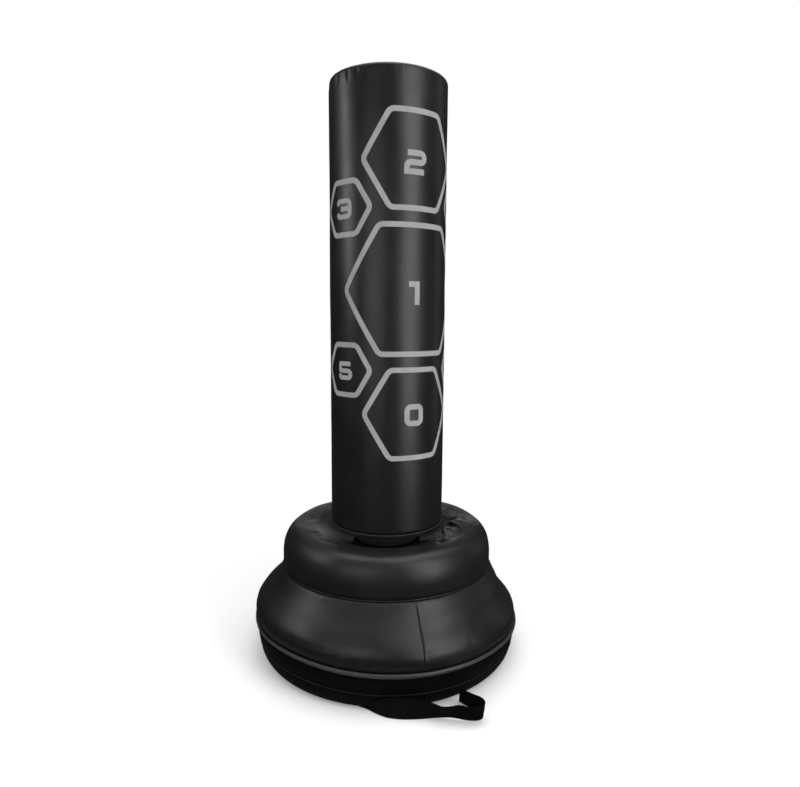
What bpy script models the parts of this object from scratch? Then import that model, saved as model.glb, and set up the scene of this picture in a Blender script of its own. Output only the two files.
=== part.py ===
"""Freestanding punching bag: a round padded bag on a coil spring over a ballasted, two-tier padded base.

Units are metres, +Z is up, the origin is on the floor at the centre of the base, and -Y is the front.
Azimuths are in degrees, from the front towards +X. Everything round is built about the Z axis, and
the soft skin of the base is then settled: its zip line leans a little and one shoulder is fuller.
"""

import math

import bmesh
import bpy
from mathutils import Matrix, Vector

# Clearances and facets
GAP = 0.0003
ROUND_SEGMENTS = 36
SMALL_SEGMENTS = 20
HOLE_SEGMENTS = 12

# Sheet goods
COVER_THICK = 0.002
PANEL_THICK = 0.003
TAPE_THICK = 0.0012
FOAM_INSET = 0.004

# Base outline, from the rim inwards
RIM_RADIUS = 0.349
SKIRT_DRAW = 0.005
FLOOR_ROLL = 0.026
FOAM_AT_FLOOR = 0.018
TIER_LEDGE = 0.0215
SHOULDER_WIDTH = 0.0505

# Base heights
PAN_SEAM_HEIGHT = 0.047
BINDING_RADIUS = 0.0018
PAN_HEIGHT = 0.0885
ZIP_CHAIN_WIDTH = 0.006
TAPE_LAP = 0.0105
PIPING_RADIUS = 0.0045
COVER_LAP = 0.006
TANK_HEIGHT = 0.197
LIP_HEIGHT = 0.034
WELT_RADIUS = 0.0017
UPPER_WALL_HEIGHT = 0.026
CREST_DROP = 0.008
NECK_DROP = 0.048
DISH_SHARES = (0.76, 0.52, 0.28, 0.0)
COVER_PROFILE = [
    (0.0, 1.0),
    (0.11, 0.93),
    (0.275, 0.78),
    (0.44, 0.60),
    (0.61, 0.39),
    (0.80, 0.20),
    (1.0, 0.0),
]

# Neck opening of the base
WELL_RADIUS = 0.072
NECK_RADIUS = 0.0845
ELASTIC_RADIUS = 0.003

# How the soft skin has settled
RIM_SLANT = 2.0
SLANT_AZIMUTH = 205.0
SLANT_FADE_HEIGHT = 0.075
FULL_SHOULDER = 0.008
FULL_AZIMUTH = 241.5
FOLD_HEIGHT = 0.004
FOLD_START = 20.0
FOLD_END = 80.0
FOLD_PITCH = 10.0
FOLD_REACH = 0.050

# Ballast tank
TANK_WALL = 0.005
TANK_CORNER = 0.040
BOSS_RADIUS = 0.050
BOSS_DEPTH = 0.022
FILLER_INSET = 0.110
FILLER_BORE = 0.018
FILLER_WALL = 0.004
FILLER_HEIGHT = 0.012

# Screw cap
SEAL_THICK = 0.002
CAP_WALL = 0.0045
CAP_TOP = 0.003
CAP_SKIRT = 0.009
CAP_GRIP_HEIGHT = 0.006
CAP_GRIP_WIDTH = 0.006
CAP_TRAVEL = 0.008
CAP_CLEARANCE = 0.0135

# Spring neck
PLATE_RADIUS = 0.066
PLATE_THICK = 0.006
SPRING_LENGTH = 0.1325
SPRING_RADIUS = 0.050
WIRE_RADIUS = 0.005
SPRING_TURNS = 6.5
END_TURN_PITCH = 0.0108
POINTS_PER_TURN = 12
COLLAR_WALL = 0.005
COLLAR_HEIGHT = 0.012
BUFFER_RADIUS = 0.022
BUFFER_WAIST_RADIUS = 0.0176
BUFFER_LENGTH = 0.095
BOLT_COUNT = 4
BOLT_CIRCLE = 0.034
BOLT_RADIUS = 0.004
BOLT_HEAD_FLATS = 0.013
BOLT_HEAD_HEIGHT = 0.0055
LOWER_BOLT_GRIP = 0.015

# Bag
BAG_RADIUS = 0.150
BAG_LENGTH = 1.129
BAG_PANEL_THICK = 0.0025
HEM_RADIUS = 0.0015
TOP_EDGE_RADIUS = 0.013
TOP_WELT_RADIUS = 0.0014
BOARD_THICK = 0.018
TUBE_RADIUS = 0.045
TUBE_WALL = 0.004
TUBE_CAP_FLANGE = 0.003
TUBE_CAP_PLUG = 0.025
INNER_FOAM_RADIUS = 0.100
TOP_FOAM_DEPTH = 0.045

# Zip ends, slider and pull, in the plane of the zip
ZIP_TAB_HALF_ANGLE = 4.0
SLIDER_AZIMUTH = 187.0
SLIDER_LENGTH = 0.013
SLIDER_DEPTH = 0.0045
SLIDER_MARGIN = 0.0012
EAR_WALL = 0.0016
EAR_REACH = 0.0042
EAR_HEIGHT = 0.0042
PULL_BARREL_RADIUS = 0.0014
PULL_WIDTH = 0.008
PULL_THICK = 0.0016
PULL_LENGTH = 0.026
PULL_LEAF_WIDTH = 0.0072

# Carry handle: a flat webbing loop that stands on its edge
STRAP_WIDTH = 0.050
STRAP_THICK = 0.0025
HANDLE_AZIMUTH = -19.0
HINGE_STAND_OFF = 0.013
HANDLE_ROUTE = [
    (-38.5, 0.0029),
    (-34.0, 0.0044),
    (-30.0, 0.0110),
    (-26.0, 0.0190),
    (-21.0, 0.0245),
    (-16.0, 0.0285),
    (-12.0, 0.0320),
    (-9.0, 0.0400),
    (-6.0, 0.0540),
    (-3.0, 0.0680),
    (0.0, 0.0780),
    (2.2, 0.0780),
    (3.6, 0.0690),
    (3.2, 0.0560),
    (1.8, 0.0400),
    (0.6, 0.0240),
    (-0.2, 0.0027),
]
ROUTE_STEPS = 3

# Radii that follow from the outline
PAN_SEAM_RADIUS = RIM_RADIUS - SKIRT_DRAW
FLOOR_RADIUS = PAN_SEAM_RADIUS - FLOOR_ROLL
TANK_RADIUS = FLOOR_RADIUS - FOAM_AT_FLOOR
FILLER_DISTANCE = TANK_RADIUS - FILLER_INSET
TIER_RADIUS = TANK_RADIUS - TIER_LEDGE
CREST_RADIUS = TIER_RADIUS - SHOULDER_WIDTH
UPPER_FOAM_RADIUS = TIER_RADIUS - COVER_THICK - GAP

# Heights that follow from the stack
TANK_FOOT = PANEL_THICK + GAP
TANK_TOP = TANK_FOOT + TANK_HEIGHT
CHAIN_FOOT = PAN_HEIGHT + 2 * GAP + SLIDER_MARGIN
CHAIN_TOP = CHAIN_FOOT + ZIP_CHAIN_WIDTH
PIPING_HEIGHT = CHAIN_TOP + GAP + PIPING_RADIUS
COVER_FOOT = PIPING_HEIGHT + PIPING_RADIUS + GAP
TIER_SEAM_HEIGHT = TANK_TOP + LIP_HEIGHT
LOWER_PLATE_FOOT = TANK_TOP + GAP
SPRING_FOOT = LOWER_PLATE_FOOT + PLATE_THICK + GAP
SPRING_TOP = SPRING_FOOT + SPRING_LENGTH
UPPER_PLATE_FOOT = SPRING_TOP + GAP
BOARD_FOOT = UPPER_PLATE_FOOT + PLATE_THICK + GAP
BAG_FOOT = BOARD_FOOT - GAP - BAG_PANEL_THICK
BAG_TOP = BAG_FOOT + BAG_LENGTH
CREST_HEIGHT = BAG_FOOT - CREST_DROP
NECK_HEIGHT = CREST_HEIGHT - NECK_DROP
TILT_HEIGHT = (SPRING_FOOT + SPRING_TOP) / 2
ZIP_CENTRE = (CHAIN_FOOT + CHAIN_TOP) / 2

# Colour, roughness and metallic value of each finish
LEATHERETTE = ((0.022, 0.022, 0.022), 0.42, 0.0)
SKIRT_CLOTH = ((0.006, 0.006, 0.006), 0.85, 0.0)
PIPING_CLOTH = ((0.055, 0.055, 0.055), 0.55, 0.0)
ZIP_TAPE = ((0.010, 0.010, 0.010), 0.80, 0.0)
ZIP_NYLON = ((0.015, 0.015, 0.015), 0.40, 0.0)
ZIP_METAL = ((0.080, 0.080, 0.085), 0.35, 0.9)
WEBBING = ((0.008, 0.008, 0.008), 0.80, 0.0)
TANK_PLASTIC = ((0.020, 0.020, 0.022), 0.50, 0.0)
SAND = ((0.560, 0.430, 0.270), 0.95, 0.0)
FOAM = ((0.180, 0.180, 0.190), 0.90, 0.0)
STEEL = ((0.420, 0.420, 0.430), 0.35, 1.0)
RUBBER = ((0.012, 0.012, 0.012), 0.70, 0.0)
PLYWOOD = ((0.560, 0.390, 0.220), 0.60, 0.0)
TUBE_PLASTIC = ((0.300, 0.300, 0.300), 0.45, 0.0)


def clear_scene():
    for old in list(bpy.data.objects):
        bpy.data.objects.remove(old, do_unlink=True)


def round_point(azimuth, radius, height=0.0):
    angle = math.radians(azimuth)
    return Vector((radius * math.sin(angle), -radius * math.cos(angle), height))


def finish_mesh(bm, name):
    """Merge doubled points, turn every face outwards and shade the round faces smooth."""
    bmesh.ops.remove_doubles(bm, verts=bm.verts, dist=1e-6)
    bmesh.ops.recalc_face_normals(bm, faces=bm.faces)
    mesh = bpy.data.meshes.new(name)
    bm.to_mesh(mesh)
    bm.free()
    mesh.shade_smooth()
    mesh.set_sharp_from_angle(angle=math.radians(38))
    return mesh


def add_piece(name, mesh, finish, parent=None):
    colour, roughness, metallic = finish
    material = bpy.data.materials.new(name + "_finish")
    material.use_nodes = True
    shader = material.node_tree.nodes["Principled BSDF"]
    shader.inputs["Base Color"].default_value = (*colour, 1.0)
    shader.inputs["Roughness"].default_value = roughness
    shader.inputs["Metallic"].default_value = metallic
    mesh.materials.append(material)
    piece = bpy.data.objects.new(name, mesh)
    bpy.context.scene.collection.objects.link(piece)
    if parent:
        piece.parent = parent
        piece.matrix_parent_inverse = parent.matrix_world.inverted()
    return piece


def add_axis(name, place, tilt=None, parent=None):
    """An empty on a joint's axis, which its moving pieces are parented to."""
    empty = bpy.data.objects.new(name, None)
    empty.empty_display_size = 0.05
    bpy.context.scene.collection.objects.link(empty)
    world = Matrix.Translation(place)
    if tilt:
        world = world @ tilt
    if parent:
        empty.parent = parent
    empty.matrix_world = world
    bpy.context.view_layer.update()
    return empty


def turned(name, section, segments=ROUND_SEGMENTS):
    """Spin a section of (radius, height) points about Z. It is a closed loop or runs from axis to axis."""
    bm = bmesh.new()
    points = [bm.verts.new((radius, 0.0, height)) for radius, height in section]
    pairs = list(zip(points, points[1:]))
    if section[0][0] > 0:
        pairs.append((points[-1], points[0]))
    edges = [bm.edges.new(pair) for pair in pairs]
    bmesh.ops.spin(
        bm, geom=points + edges, axis=(0, 0, 1), cent=(0, 0, 0), angle=math.tau, steps=segments, use_merge=True
    )
    return finish_mesh(bm, name)


def swept(name, section, azimuths, full_circle):
    """Carry a closed section of (radius, height) points round the given azimuths."""
    bm = bmesh.new()
    rings = [[bm.verts.new(round_point(a, *point)) for point in section] for a in azimuths]
    followers = rings[1:] + rings[:1] if full_circle else rings[1:]
    for ring, following in zip(rings, followers):
        for k in range(len(section)):
            after = (k + 1) % len(section)
            bm.faces.new((ring[k], ring[after], following[after], following[k]))
    if not full_circle:
        bm.faces.new(rings[0])
        bm.faces.new(rings[-1])
    return finish_mesh(bm, name)


def round_columns(start, end):
    """Azimuths from start to end that keep to the facets of the full rings in between."""
    step = 360.0 / ROUND_SEGMENTS
    inner = range(math.floor(start / step) + 1, math.ceil(end / step))
    return [start] + [k * step for k in inner] + [end]


def box(name, size, centre):
    bm = bmesh.new()
    bmesh.ops.create_cube(bm, size=1.0)
    bmesh.ops.scale(bm, vec=size, verts=bm.verts)
    bmesh.ops.translate(bm, vec=centre, verts=bm.verts)
    return finish_mesh(bm, name)


def rod(name, radius, foot, top, centre=(0.0, 0.0), segments=HOLE_SEGMENTS):
    """An upright cylinder between two heights."""
    bm = bmesh.new()
    bmesh.ops.create_cone(
        bm, cap_ends=True, segments=segments, radius1=radius, radius2=radius, depth=top - foot
    )
    bmesh.ops.translate(bm, vec=(*centre, (foot + top) / 2), verts=bm.verts)
    return finish_mesh(bm, name)


def helper(name, mesh):
    guide = bpy.data.objects.new(name, mesh)
    bpy.context.scene.collection.objects.link(guide)
    guide.hide_render = True
    guide.display_type = "WIRE"
    return guide


def combine(piece, mesh, operation):
    """Add a Boolean modifier that cuts the mesh from the piece, or joins it on."""
    modifier = piece.modifiers.new(mesh.name, "BOOLEAN")
    modifier.operation = operation
    modifier.solver = "EXACT"
    modifier.object = helper(mesh.name, mesh)


def inset(line, distance):
    """Move an open line of (radius, height) points to its left, which is inwards on a line that climbs."""
    moved = []
    for k, point in enumerate(line):
        here = Vector(point)
        ways = []
        if k > 0:
            ways.append((here - Vector(line[k - 1])).normalized())
        if k < len(line) - 1:
            ways.append((Vector(line[k + 1]) - here).normalized())
        normals = [Vector((-way.y, way.x)) for way in ways]
        middle = sum(normals, Vector((0.0, 0.0))).normalized()
        reach = distance / max(0.6, middle.dot(normals[0]))
        moved.append(tuple(here + middle * reach))
    return moved


def arc_line(corner_radius, corner_height, radius, start, end, steps):
    """Points on a quarter round, by angle from the outward level direction."""
    angles = [math.radians(start + (end - start) * k / steps) for k in range(steps + 1)]
    return [(corner_radius + radius * math.cos(a), corner_height + radius * math.sin(a)) for a in angles]


def bead(radius, height, size, points=4):
    """The section of a round cord."""
    angles = [math.tau * (k + 0.5) / points for k in range(points)]
    return [(radius + size * math.cos(a), height + size * math.sin(a)) for a in angles]


def smooth_step(share):
    share = min(max(share, 0.0), 1.0)
    return share * share * (3 - 2 * share)


def slant_direction():
    return round_point(SLANT_AZIMUTH, 1.0)


def settle(mesh):
    """Lean the zip line, and fill the lower shoulder on one side, fading to the parts that stay level."""
    uphill = slant_direction()
    full_side = round_point(FULL_AZIMUTH, 1.0)
    slope = math.tan(math.radians(RIM_SLANT))
    fade_top = TANK_TOP - TANK_CORNER
    full_top = COVER_FOOT + COVER_LAP
    shoulder_middle = (full_top + TIER_SEAM_HEIGHT) / 2
    shoulder_half = (TIER_SEAM_HEIGHT - full_top) / 2
    for vertex in mesh.vertices:
        x, y, z = vertex.co
        rise = smooth_step((z - PANEL_THICK) / (SLANT_FADE_HEIGHT - PANEL_THICK))
        fall = smooth_step((fade_top - z) / (fade_top - full_top))
        along = x * uphill.x + y * uphill.y
        towards_full = x * full_side.x + y * full_side.y
        radius = math.hypot(x, y)
        out = smooth_step((radius - TANK_RADIUS - GAP) / (RIM_RADIUS - TANK_RADIUS) * 2)
        belly = smooth_step(1 - abs(z - shoulder_middle) / shoulder_half)
        swell = 1 + FULL_SHOULDER * out * belly * towards_full / max(radius, GAP) ** 2
        vertex.co = (x * swell, y * swell, z + slope * rise * fall * along)
    return mesh


def dish_line():
    """Outer line of the bottom panel: flat on the floor, then rolled up to the pan's seam."""
    top = PAN_SEAM_HEIGHT - BINDING_RADIUS - GAP
    angles = [math.radians(a) for a in (30, 60, 90)]
    roll = [(FLOOR_RADIUS + FLOOR_ROLL * math.sin(a), top * (1 - math.cos(a))) for a in angles]
    return [(0.0, 0.0), (FLOOR_RADIUS, 0.0)] + roll


def skirt_line():
    foot = PAN_SEAM_HEIGHT + BINDING_RADIUS + GAP
    bulge_top = PAN_HEIGHT - TAPE_LAP
    angles = (0, 45, 90)
    bulge = [
        (PAN_SEAM_RADIUS + SKIRT_DRAW * math.sin(math.radians(a)), foot + (bulge_top - foot) * a / 90)
        for a in angles
    ]
    return bulge + [(RIM_RADIUS, PAN_HEIGHT)]


def lower_cover_line():
    """Outer line of the lower tier: upright above the rim, then a shoulder that slopes in to the tier seam."""
    foot = COVER_FOOT + COVER_LAP
    top = TIER_SEAM_HEIGHT - WELT_RADIUS - GAP
    line = [(RIM_RADIUS, COVER_FOOT)]
    for climb, reach in COVER_PROFILE:
        line.append((TIER_RADIUS + (RIM_RADIUS - TIER_RADIUS) * reach, foot + (top - foot) * climb))
    return line


def upper_cover_line():
    """Outer line of the upper tier: wall, round shoulder, crest and the dish that falls in under the bag."""
    foot = TIER_SEAM_HEIGHT + WELT_RADIUS + GAP
    widest = foot + UPPER_WALL_HEIGHT
    line = [(TIER_RADIUS, foot), (TIER_RADIUS, widest)]
    for angle in (30, 60, 90):
        a = math.radians(angle)
        line.append(
            (
                CREST_RADIUS + (TIER_RADIUS - CREST_RADIUS) * math.cos(a),
                widest + (CREST_HEIGHT - widest) * math.sin(a),
            )
        )
    for share in DISH_SHARES:
        radius = NECK_RADIUS + (CREST_RADIUS - NECK_RADIUS) * share
        line.append((radius, NECK_HEIGHT + NECK_DROP * smooth_step(share)))
    return line


def skin(line, thick):
    """Closed section of a sheet that lies inside the given outer line."""
    return line + inset(line, thick)[::-1]


def make_bottom_panel():
    line = dish_line()
    mesh = turned("bottom_panel", line + inset(line, PANEL_THICK)[::-1])
    return add_piece("bottom_panel", settle(mesh), SKIRT_CLOTH)


def make_ring(name, section, finish):
    return add_piece(name, settle(turned(name, section)), finish)


def make_pan():
    make_ring("bottom_binding", bead(PAN_SEAM_RADIUS, PAN_SEAM_HEIGHT, BINDING_RADIUS), PIPING_CLOTH)
    make_ring("pan_skirt", skin(skirt_line(), COVER_THICK), SKIRT_CLOTH)


def make_zip():
    """Two tapes behind the pan's top edge and the cover's foot, the closed chain, and the tab over its ends."""
    tape_outer = RIM_RADIUS - COVER_THICK - GAP
    tape_inner = tape_outer - TAPE_THICK
    for name, foot, top in (
        ("zip_tape_lower", PAN_HEIGHT - TAPE_LAP, CHAIN_FOOT - GAP),
        ("zip_tape_upper", CHAIN_TOP + GAP, COVER_FOOT + COVER_LAP),
    ):
        section = [(tape_outer, foot), (tape_outer, top), (tape_inner, top), (tape_inner, foot)]
        make_ring(name, section, ZIP_TAPE)
    outer = RIM_RADIUS
    chain = [(outer, CHAIN_FOOT), (outer, CHAIN_TOP), (tape_inner, CHAIN_TOP), (tape_inner, CHAIN_FOOT)]
    columns = round_columns(180 + ZIP_TAB_HALF_ANGLE, 540 - ZIP_TAB_HALF_ANGLE)
    add_piece("zip_chain", settle(swept("zip_chain", chain, columns, False)), ZIP_NYLON)
    tab_inner = RIM_RADIUS + GAP
    tab_outer = tab_inner + TAPE_THICK
    tab_foot = PAN_HEIGHT - TAPE_LAP
    tab = [(tab_outer, tab_foot), (tab_outer, CHAIN_TOP), (tab_inner, CHAIN_TOP), (tab_inner, tab_foot)]
    columns = round_columns(180 - ZIP_TAB_HALF_ANGLE, 180 + ZIP_TAB_HALF_ANGLE)
    add_piece("zip_end_tab", settle(swept("zip_end_tab", tab, columns, False)), SKIRT_CLOTH)
    piping_radius = tape_outer + GAP + PIPING_RADIUS
    make_ring("rim_piping", bead(piping_radius, PIPING_HEIGHT, PIPING_RADIUS, 6), PIPING_CLOTH)


def fold_columns():
    """Azimuths of the full rings, with three columns to a facet where the neck cloth is gathered."""
    step = 360.0 / ROUND_SEGMENTS
    columns = []
    for k in range(ROUND_SEGMENTS):
        start = k * step
        parts = 3 if FOLD_START - step < start < FOLD_END else 1
        columns += [start + step * part / parts for part in range(parts)]
    return columns


def gather(mesh):
    """Raise the radial gathers beside the neck: ridges that fade towards the ends of the gathered stretch."""
    middle = CREST_RADIUS - FOLD_REACH
    for vertex in mesh.vertices:
        azimuth = math.degrees(math.atan2(vertex.co.x, -vertex.co.y))
        share = (azimuth - FOLD_START) / (FOLD_END - FOLD_START)
        if not 0 < share < 1:
            continue
        ridge = 0.5 - 0.5 * math.cos(math.tau * (azimuth - FOLD_START) / FOLD_PITCH)
        radius = math.hypot(vertex.co.x, vertex.co.y)
        reach = smooth_step(1 - abs(radius - middle) / FOLD_REACH)
        if vertex.co.z > NECK_HEIGHT and radius < CREST_RADIUS:
            vertex.co.z += FOLD_HEIGHT * ridge * reach * math.sin(math.pi * share)
    return mesh


def make_covers():
    lower = skin(lower_cover_line(), COVER_THICK)
    make_ring("lower_tier_cover", lower, LEATHERETTE)
    make_ring("tier_seam_welt", bead(TIER_RADIUS, TIER_SEAM_HEIGHT, WELT_RADIUS), LEATHERETTE)
    upper = swept("upper_tier_cover", skin(upper_cover_line(), COVER_THICK), fold_columns(), True)
    add_piece("upper_tier_cover", gather(upper), LEATHERETTE)
    elastic_radius = NECK_RADIUS - ELASTIC_RADIUS - GAP
    elastic = bead(elastic_radius, NECK_HEIGHT, ELASTIC_RADIUS)
    add_piece("neck_elastic", turned("neck_elastic", elastic), SKIRT_CLOTH)


def height_at(radius, first, last):
    """Height of a straight run of (radius, height) points where it crosses a radius."""
    share = (radius - first[0]) / (last[0] - first[0])
    return first[1] + (last[1] - first[1]) * share


def make_base_foam():
    """The lower ring wraps the tank and its round edge. The upper ring sits on the tank, round the spring."""
    skin_line = dish_line()[2:] + skirt_line() + lower_cover_line()
    outer = inset(skin_line, FOAM_INSET)
    lip = UPPER_FOAM_RADIUS + GAP
    bore = TANK_RADIUS + GAP
    corner = arc_line(TANK_RADIUS - TANK_CORNER, TANK_TOP - TANK_CORNER, TANK_CORNER + GAP, 90, 0, 2)
    outside = [point for point in outer if point[0] > lip]
    lip_top = height_at(lip, outside[-1], outer[len(outside)])
    section = [(bore, TANK_FOOT), (FLOOR_RADIUS - FOAM_INSET, TANK_FOOT)] + outside
    section += [(lip, lip_top), (lip, height_at(lip, *corner[:2]))] + corner[1:]
    make_ring("lower_foam_ring", section, FOAM)
    line = inset(upper_cover_line(), COVER_THICK + GAP)
    foot = TANK_TOP + GAP
    well_top = line[-1][1] - ELASTIC_RADIUS - GAP
    section = [(WELL_RADIUS, foot), (line[0][0], foot)] + line + [(WELL_RADIUS, well_top)]
    ring = add_piece("upper_foam_ring", turned("upper_foam_ring", section), FOAM)
    pocket_top = cap_top() + CAP_GRIP_HEIGHT + CAP_TRAVEL + CAP_WALL
    pocket_radius = FILLER_BORE + FILLER_WALL + CAP_CLEARANCE
    pocket = rod(
        "filler_pocket", pocket_radius, TANK_TOP - GAP, pocket_top, (0.0, FILLER_DISTANCE), SMALL_SEGMENTS
    )
    combine(ring, pocket, "DIFFERENCE")


def tank_line(depth, boss):
    """Outline of the tank from axis to axis, this deep inside its outer face, with the boss left solid."""
    radius = TANK_RADIUS - depth
    foot = TANK_FOOT + depth
    top = TANK_TOP - depth
    corner = TANK_CORNER - depth / 2
    line = [(0.0, foot)]
    line += arc_line(radius - corner, foot + corner, corner, -90, 0, 2)
    line += arc_line(radius - corner, top - corner, corner, 0, 90, 2)
    if boss:
        boss_radius = BOSS_RADIUS + depth - TANK_WALL
        boss_foot = TANK_TOP - BOSS_DEPTH - depth + TANK_WALL
        return line + [(boss_radius, top), (boss_radius, boss_foot), (0.0, boss_foot)]
    return line + [(0.0, top)]


def bolt_places():
    return [round_point(45 + 360 / BOLT_COUNT * k, BOLT_CIRCLE) for k in range(BOLT_COUNT)]


def cut_bolt_holes(piece, foot, top):
    for k, place in enumerate(bolt_places()):
        name = f"{piece.name}_hole_{k + 1}"
        combine(piece, rod(name, BOLT_RADIUS + GAP, foot, top, place[:2]), "DIFFERENCE")


def make_tank():
    tank = add_piece("base_tank", turned("base_tank", tank_line(0.0, False)), TANK_PLASTIC)
    neck_radius = FILLER_BORE + FILLER_WALL
    centre = (0.0, FILLER_DISTANCE)
    neck_top = TANK_TOP + FILLER_HEIGHT
    neck = rod("filler_neck", neck_radius, TANK_TOP - TANK_WALL / 2, neck_top, centre, SMALL_SEGMENTS)
    combine(tank, neck, "UNION")
    combine(tank, turned("tank_cavity", tank_line(TANK_WALL, True)), "DIFFERENCE")
    bore_foot = TANK_TOP - TANK_WALL * 2
    bore = rod("filler_bore", FILLER_BORE, bore_foot, neck_top + TANK_WALL, centre, SMALL_SEGMENTS)
    combine(tank, bore, "DIFFERENCE")
    hole_foot = TANK_TOP - LOWER_BOLT_GRIP - GAP
    cut_bolt_holes(tank, hole_foot, TANK_TOP + TANK_WALL)
    ballast = turned("sand_ballast", tank_line(TANK_WALL + GAP, True))
    add_piece("sand_ballast", ballast, SAND)


def cap_foot():
    return TANK_TOP + FILLER_HEIGHT + GAP


def cap_top():
    return cap_foot() + SEAL_THICK + GAP + CAP_TOP


def make_filler_cap():
    """A screw cap over the filler neck, with a flat seal that lifts with it but doesn't turn."""
    centre = Vector((0.0, FILLER_DISTANCE, 0.0))
    lift = add_axis("cap_lift_axis", centre)
    neck_radius = FILLER_BORE + FILLER_WALL
    foot = cap_foot()
    seal = [
        (neck_radius, foot),
        (neck_radius, foot + SEAL_THICK),
        (FILLER_BORE, foot + SEAL_THICK),
        (FILLER_BORE, foot),
    ]
    mesh = turned("cap_seal", seal, SMALL_SEGMENTS)
    mesh.transform(Matrix.Translation(centre))
    add_piece("cap_seal", mesh, RUBBER, lift)
    turn = add_axis("cap_turn_axis", centre, parent=lift)
    inside = neck_radius + GAP
    outside = neck_radius + CAP_WALL
    ceiling = foot + SEAL_THICK + GAP
    top = cap_top()
    shell = [
        (0.0, ceiling),
        (inside, ceiling),
        (inside, ceiling - CAP_SKIRT),
        (outside, ceiling - CAP_SKIRT),
        (outside, top),
        (0.0, top),
    ]
    mesh = turned("filler_cap", shell, SMALL_SEGMENTS)
    mesh.transform(Matrix.Translation(centre))
    cap = add_piece("filler_cap", mesh, TANK_PLASTIC, turn)
    size = (2 * inside, CAP_GRIP_WIDTH, CAP_GRIP_HEIGHT + CAP_TOP / 2)
    middle = centre + Vector((0, 0, top + CAP_GRIP_HEIGHT - size[2] / 2))
    combine(cap, box("cap_grip", size, middle), "UNION")


def make_spring_seat(name, foot, collar_up, hole_foot, hole_top, parent=None):
    """A steel plate with a collar that locates the end of the spring, and four bolt holes."""
    inner = (SPRING_RADIUS + WIRE_RADIUS + GAP) / math.cos(math.pi / SMALL_SEGMENTS)
    outer = inner + COLLAR_WALL
    top = foot + PLATE_THICK
    if collar_up:
        end = top + COLLAR_HEIGHT
        section = [(0.0, foot), (PLATE_RADIUS, foot), (PLATE_RADIUS, top), (outer, top)]
        section += [(outer, end), (inner, end), (inner, top), (0.0, top)]
    else:
        end = foot - COLLAR_HEIGHT
        section = [(0.0, foot), (inner, foot), (inner, end), (outer, end)]
        section += [(outer, foot), (PLATE_RADIUS, foot), (PLATE_RADIUS, top), (0.0, top)]
    plate = add_piece(name, turned(name, section, SMALL_SEGMENTS), STEEL, parent)
    cut_bolt_holes(plate, hole_foot, hole_top)


def make_bolt(name, place, seat, up, length, parent=None):
    """A hexagon bolt whose head bears on the seat height, with its shank pointing up or down."""
    corner = BOLT_HEAD_FLATS / 2 / math.cos(math.radians(30))
    head = BOLT_HEAD_HEIGHT
    section = [(0.0, -head), (corner, -head), (corner, 0.0), (BOLT_RADIUS, 0.0), (BOLT_RADIUS, length)]
    mesh = turned(name, section + [(0.0, length)], HOLE_SEGMENTS)
    for vertex in mesh.vertices:
        radius = math.hypot(vertex.co.x, vertex.co.y)
        if radius > BOLT_RADIUS + GAP:
            turn = math.degrees(math.atan2(vertex.co.y, vertex.co.x)) % 60
            to_flat = BOLT_HEAD_FLATS / 2 / math.cos(math.radians(turn - 30)) / radius
            vertex.co.x *= to_flat
            vertex.co.y *= to_flat
    if not up:
        mesh.transform(Matrix.Rotation(math.pi, 4, "X"))
    mesh.transform(Matrix.Translation((place.x, place.y, seat)))
    return add_piece(name, mesh, STEEL, parent)


def spring_height(turn):
    """Height of the wire's centre after so many turns: closed end turns, and an even climb between them."""
    climb = SPRING_LENGTH - 2 * WIRE_RADIUS - 2 * END_TURN_PITCH
    active = SPRING_TURNS - 2
    middle = min(max(turn - 1, 0), active)
    ends = min(turn, 1) + max(turn - 1 - active, 0)
    return SPRING_FOOT + WIRE_RADIUS + ends * END_TURN_PITCH + middle * climb / active


def make_spring(parent):
    count = round(SPRING_TURNS * POINTS_PER_TURN) + 1
    turns = [SPRING_TURNS * k / (count - 1) for k in range(count)]
    points = [round_point(360 * turn, SPRING_RADIUS, spring_height(turn)) for turn in turns]
    least = min(
        (points[k] - points[j]).length
        for k in range(count)
        for j in range(k + POINTS_PER_TURN // 2, count)
    )
    print(f"least gap between the spring's turns: {(least - 2 * WIRE_RADIUS) * 1000:.2f} mm")
    curve = bpy.data.curves.new("coil_spring", "CURVE")
    curve.dimensions = "3D"
    curve.bevel_depth = WIRE_RADIUS
    curve.bevel_resolution = 1
    curve.use_fill_caps = True
    spline = curve.splines.new("POLY")
    spline.points.add(count - 1)
    for point, place in zip(spline.points, points):
        point.co = (*place, 1.0)
    spline.use_smooth = True
    add_piece("coil_spring", curve, STEEL, parent)


def make_neck(neck):
    """Plates, bolts, spring and buffer between the tank and the bag."""
    make_spring_seat(
        "lower_spring_plate", LOWER_PLATE_FOOT, True, LOWER_PLATE_FOOT - PLATE_THICK, SPRING_FOOT + PLATE_THICK
    )
    seat = LOWER_PLATE_FOOT + PLATE_THICK + GAP
    length = PLATE_THICK + LOWER_BOLT_GRIP
    for k, place in enumerate(bolt_places()):
        make_bolt(f"lower_plate_bolt_{k + 1}", place, seat, False, length)
    make_spring(neck)
    waist = BUFFER_WAIST_RADIUS
    foot = SPRING_FOOT
    third = BUFFER_LENGTH / 3
    top = foot + BUFFER_LENGTH
    middle = foot + BUFFER_LENGTH / 2
    buffer = [(0.0, foot), (BUFFER_RADIUS, foot), (BUFFER_RADIUS, foot + third), (waist, middle)]
    buffer += [(BUFFER_RADIUS, top - third), (waist, top), (0.0, top)]
    add_piece("rubber_buffer", turned("rubber_buffer", buffer, SMALL_SEGMENTS), RUBBER, neck)


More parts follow.
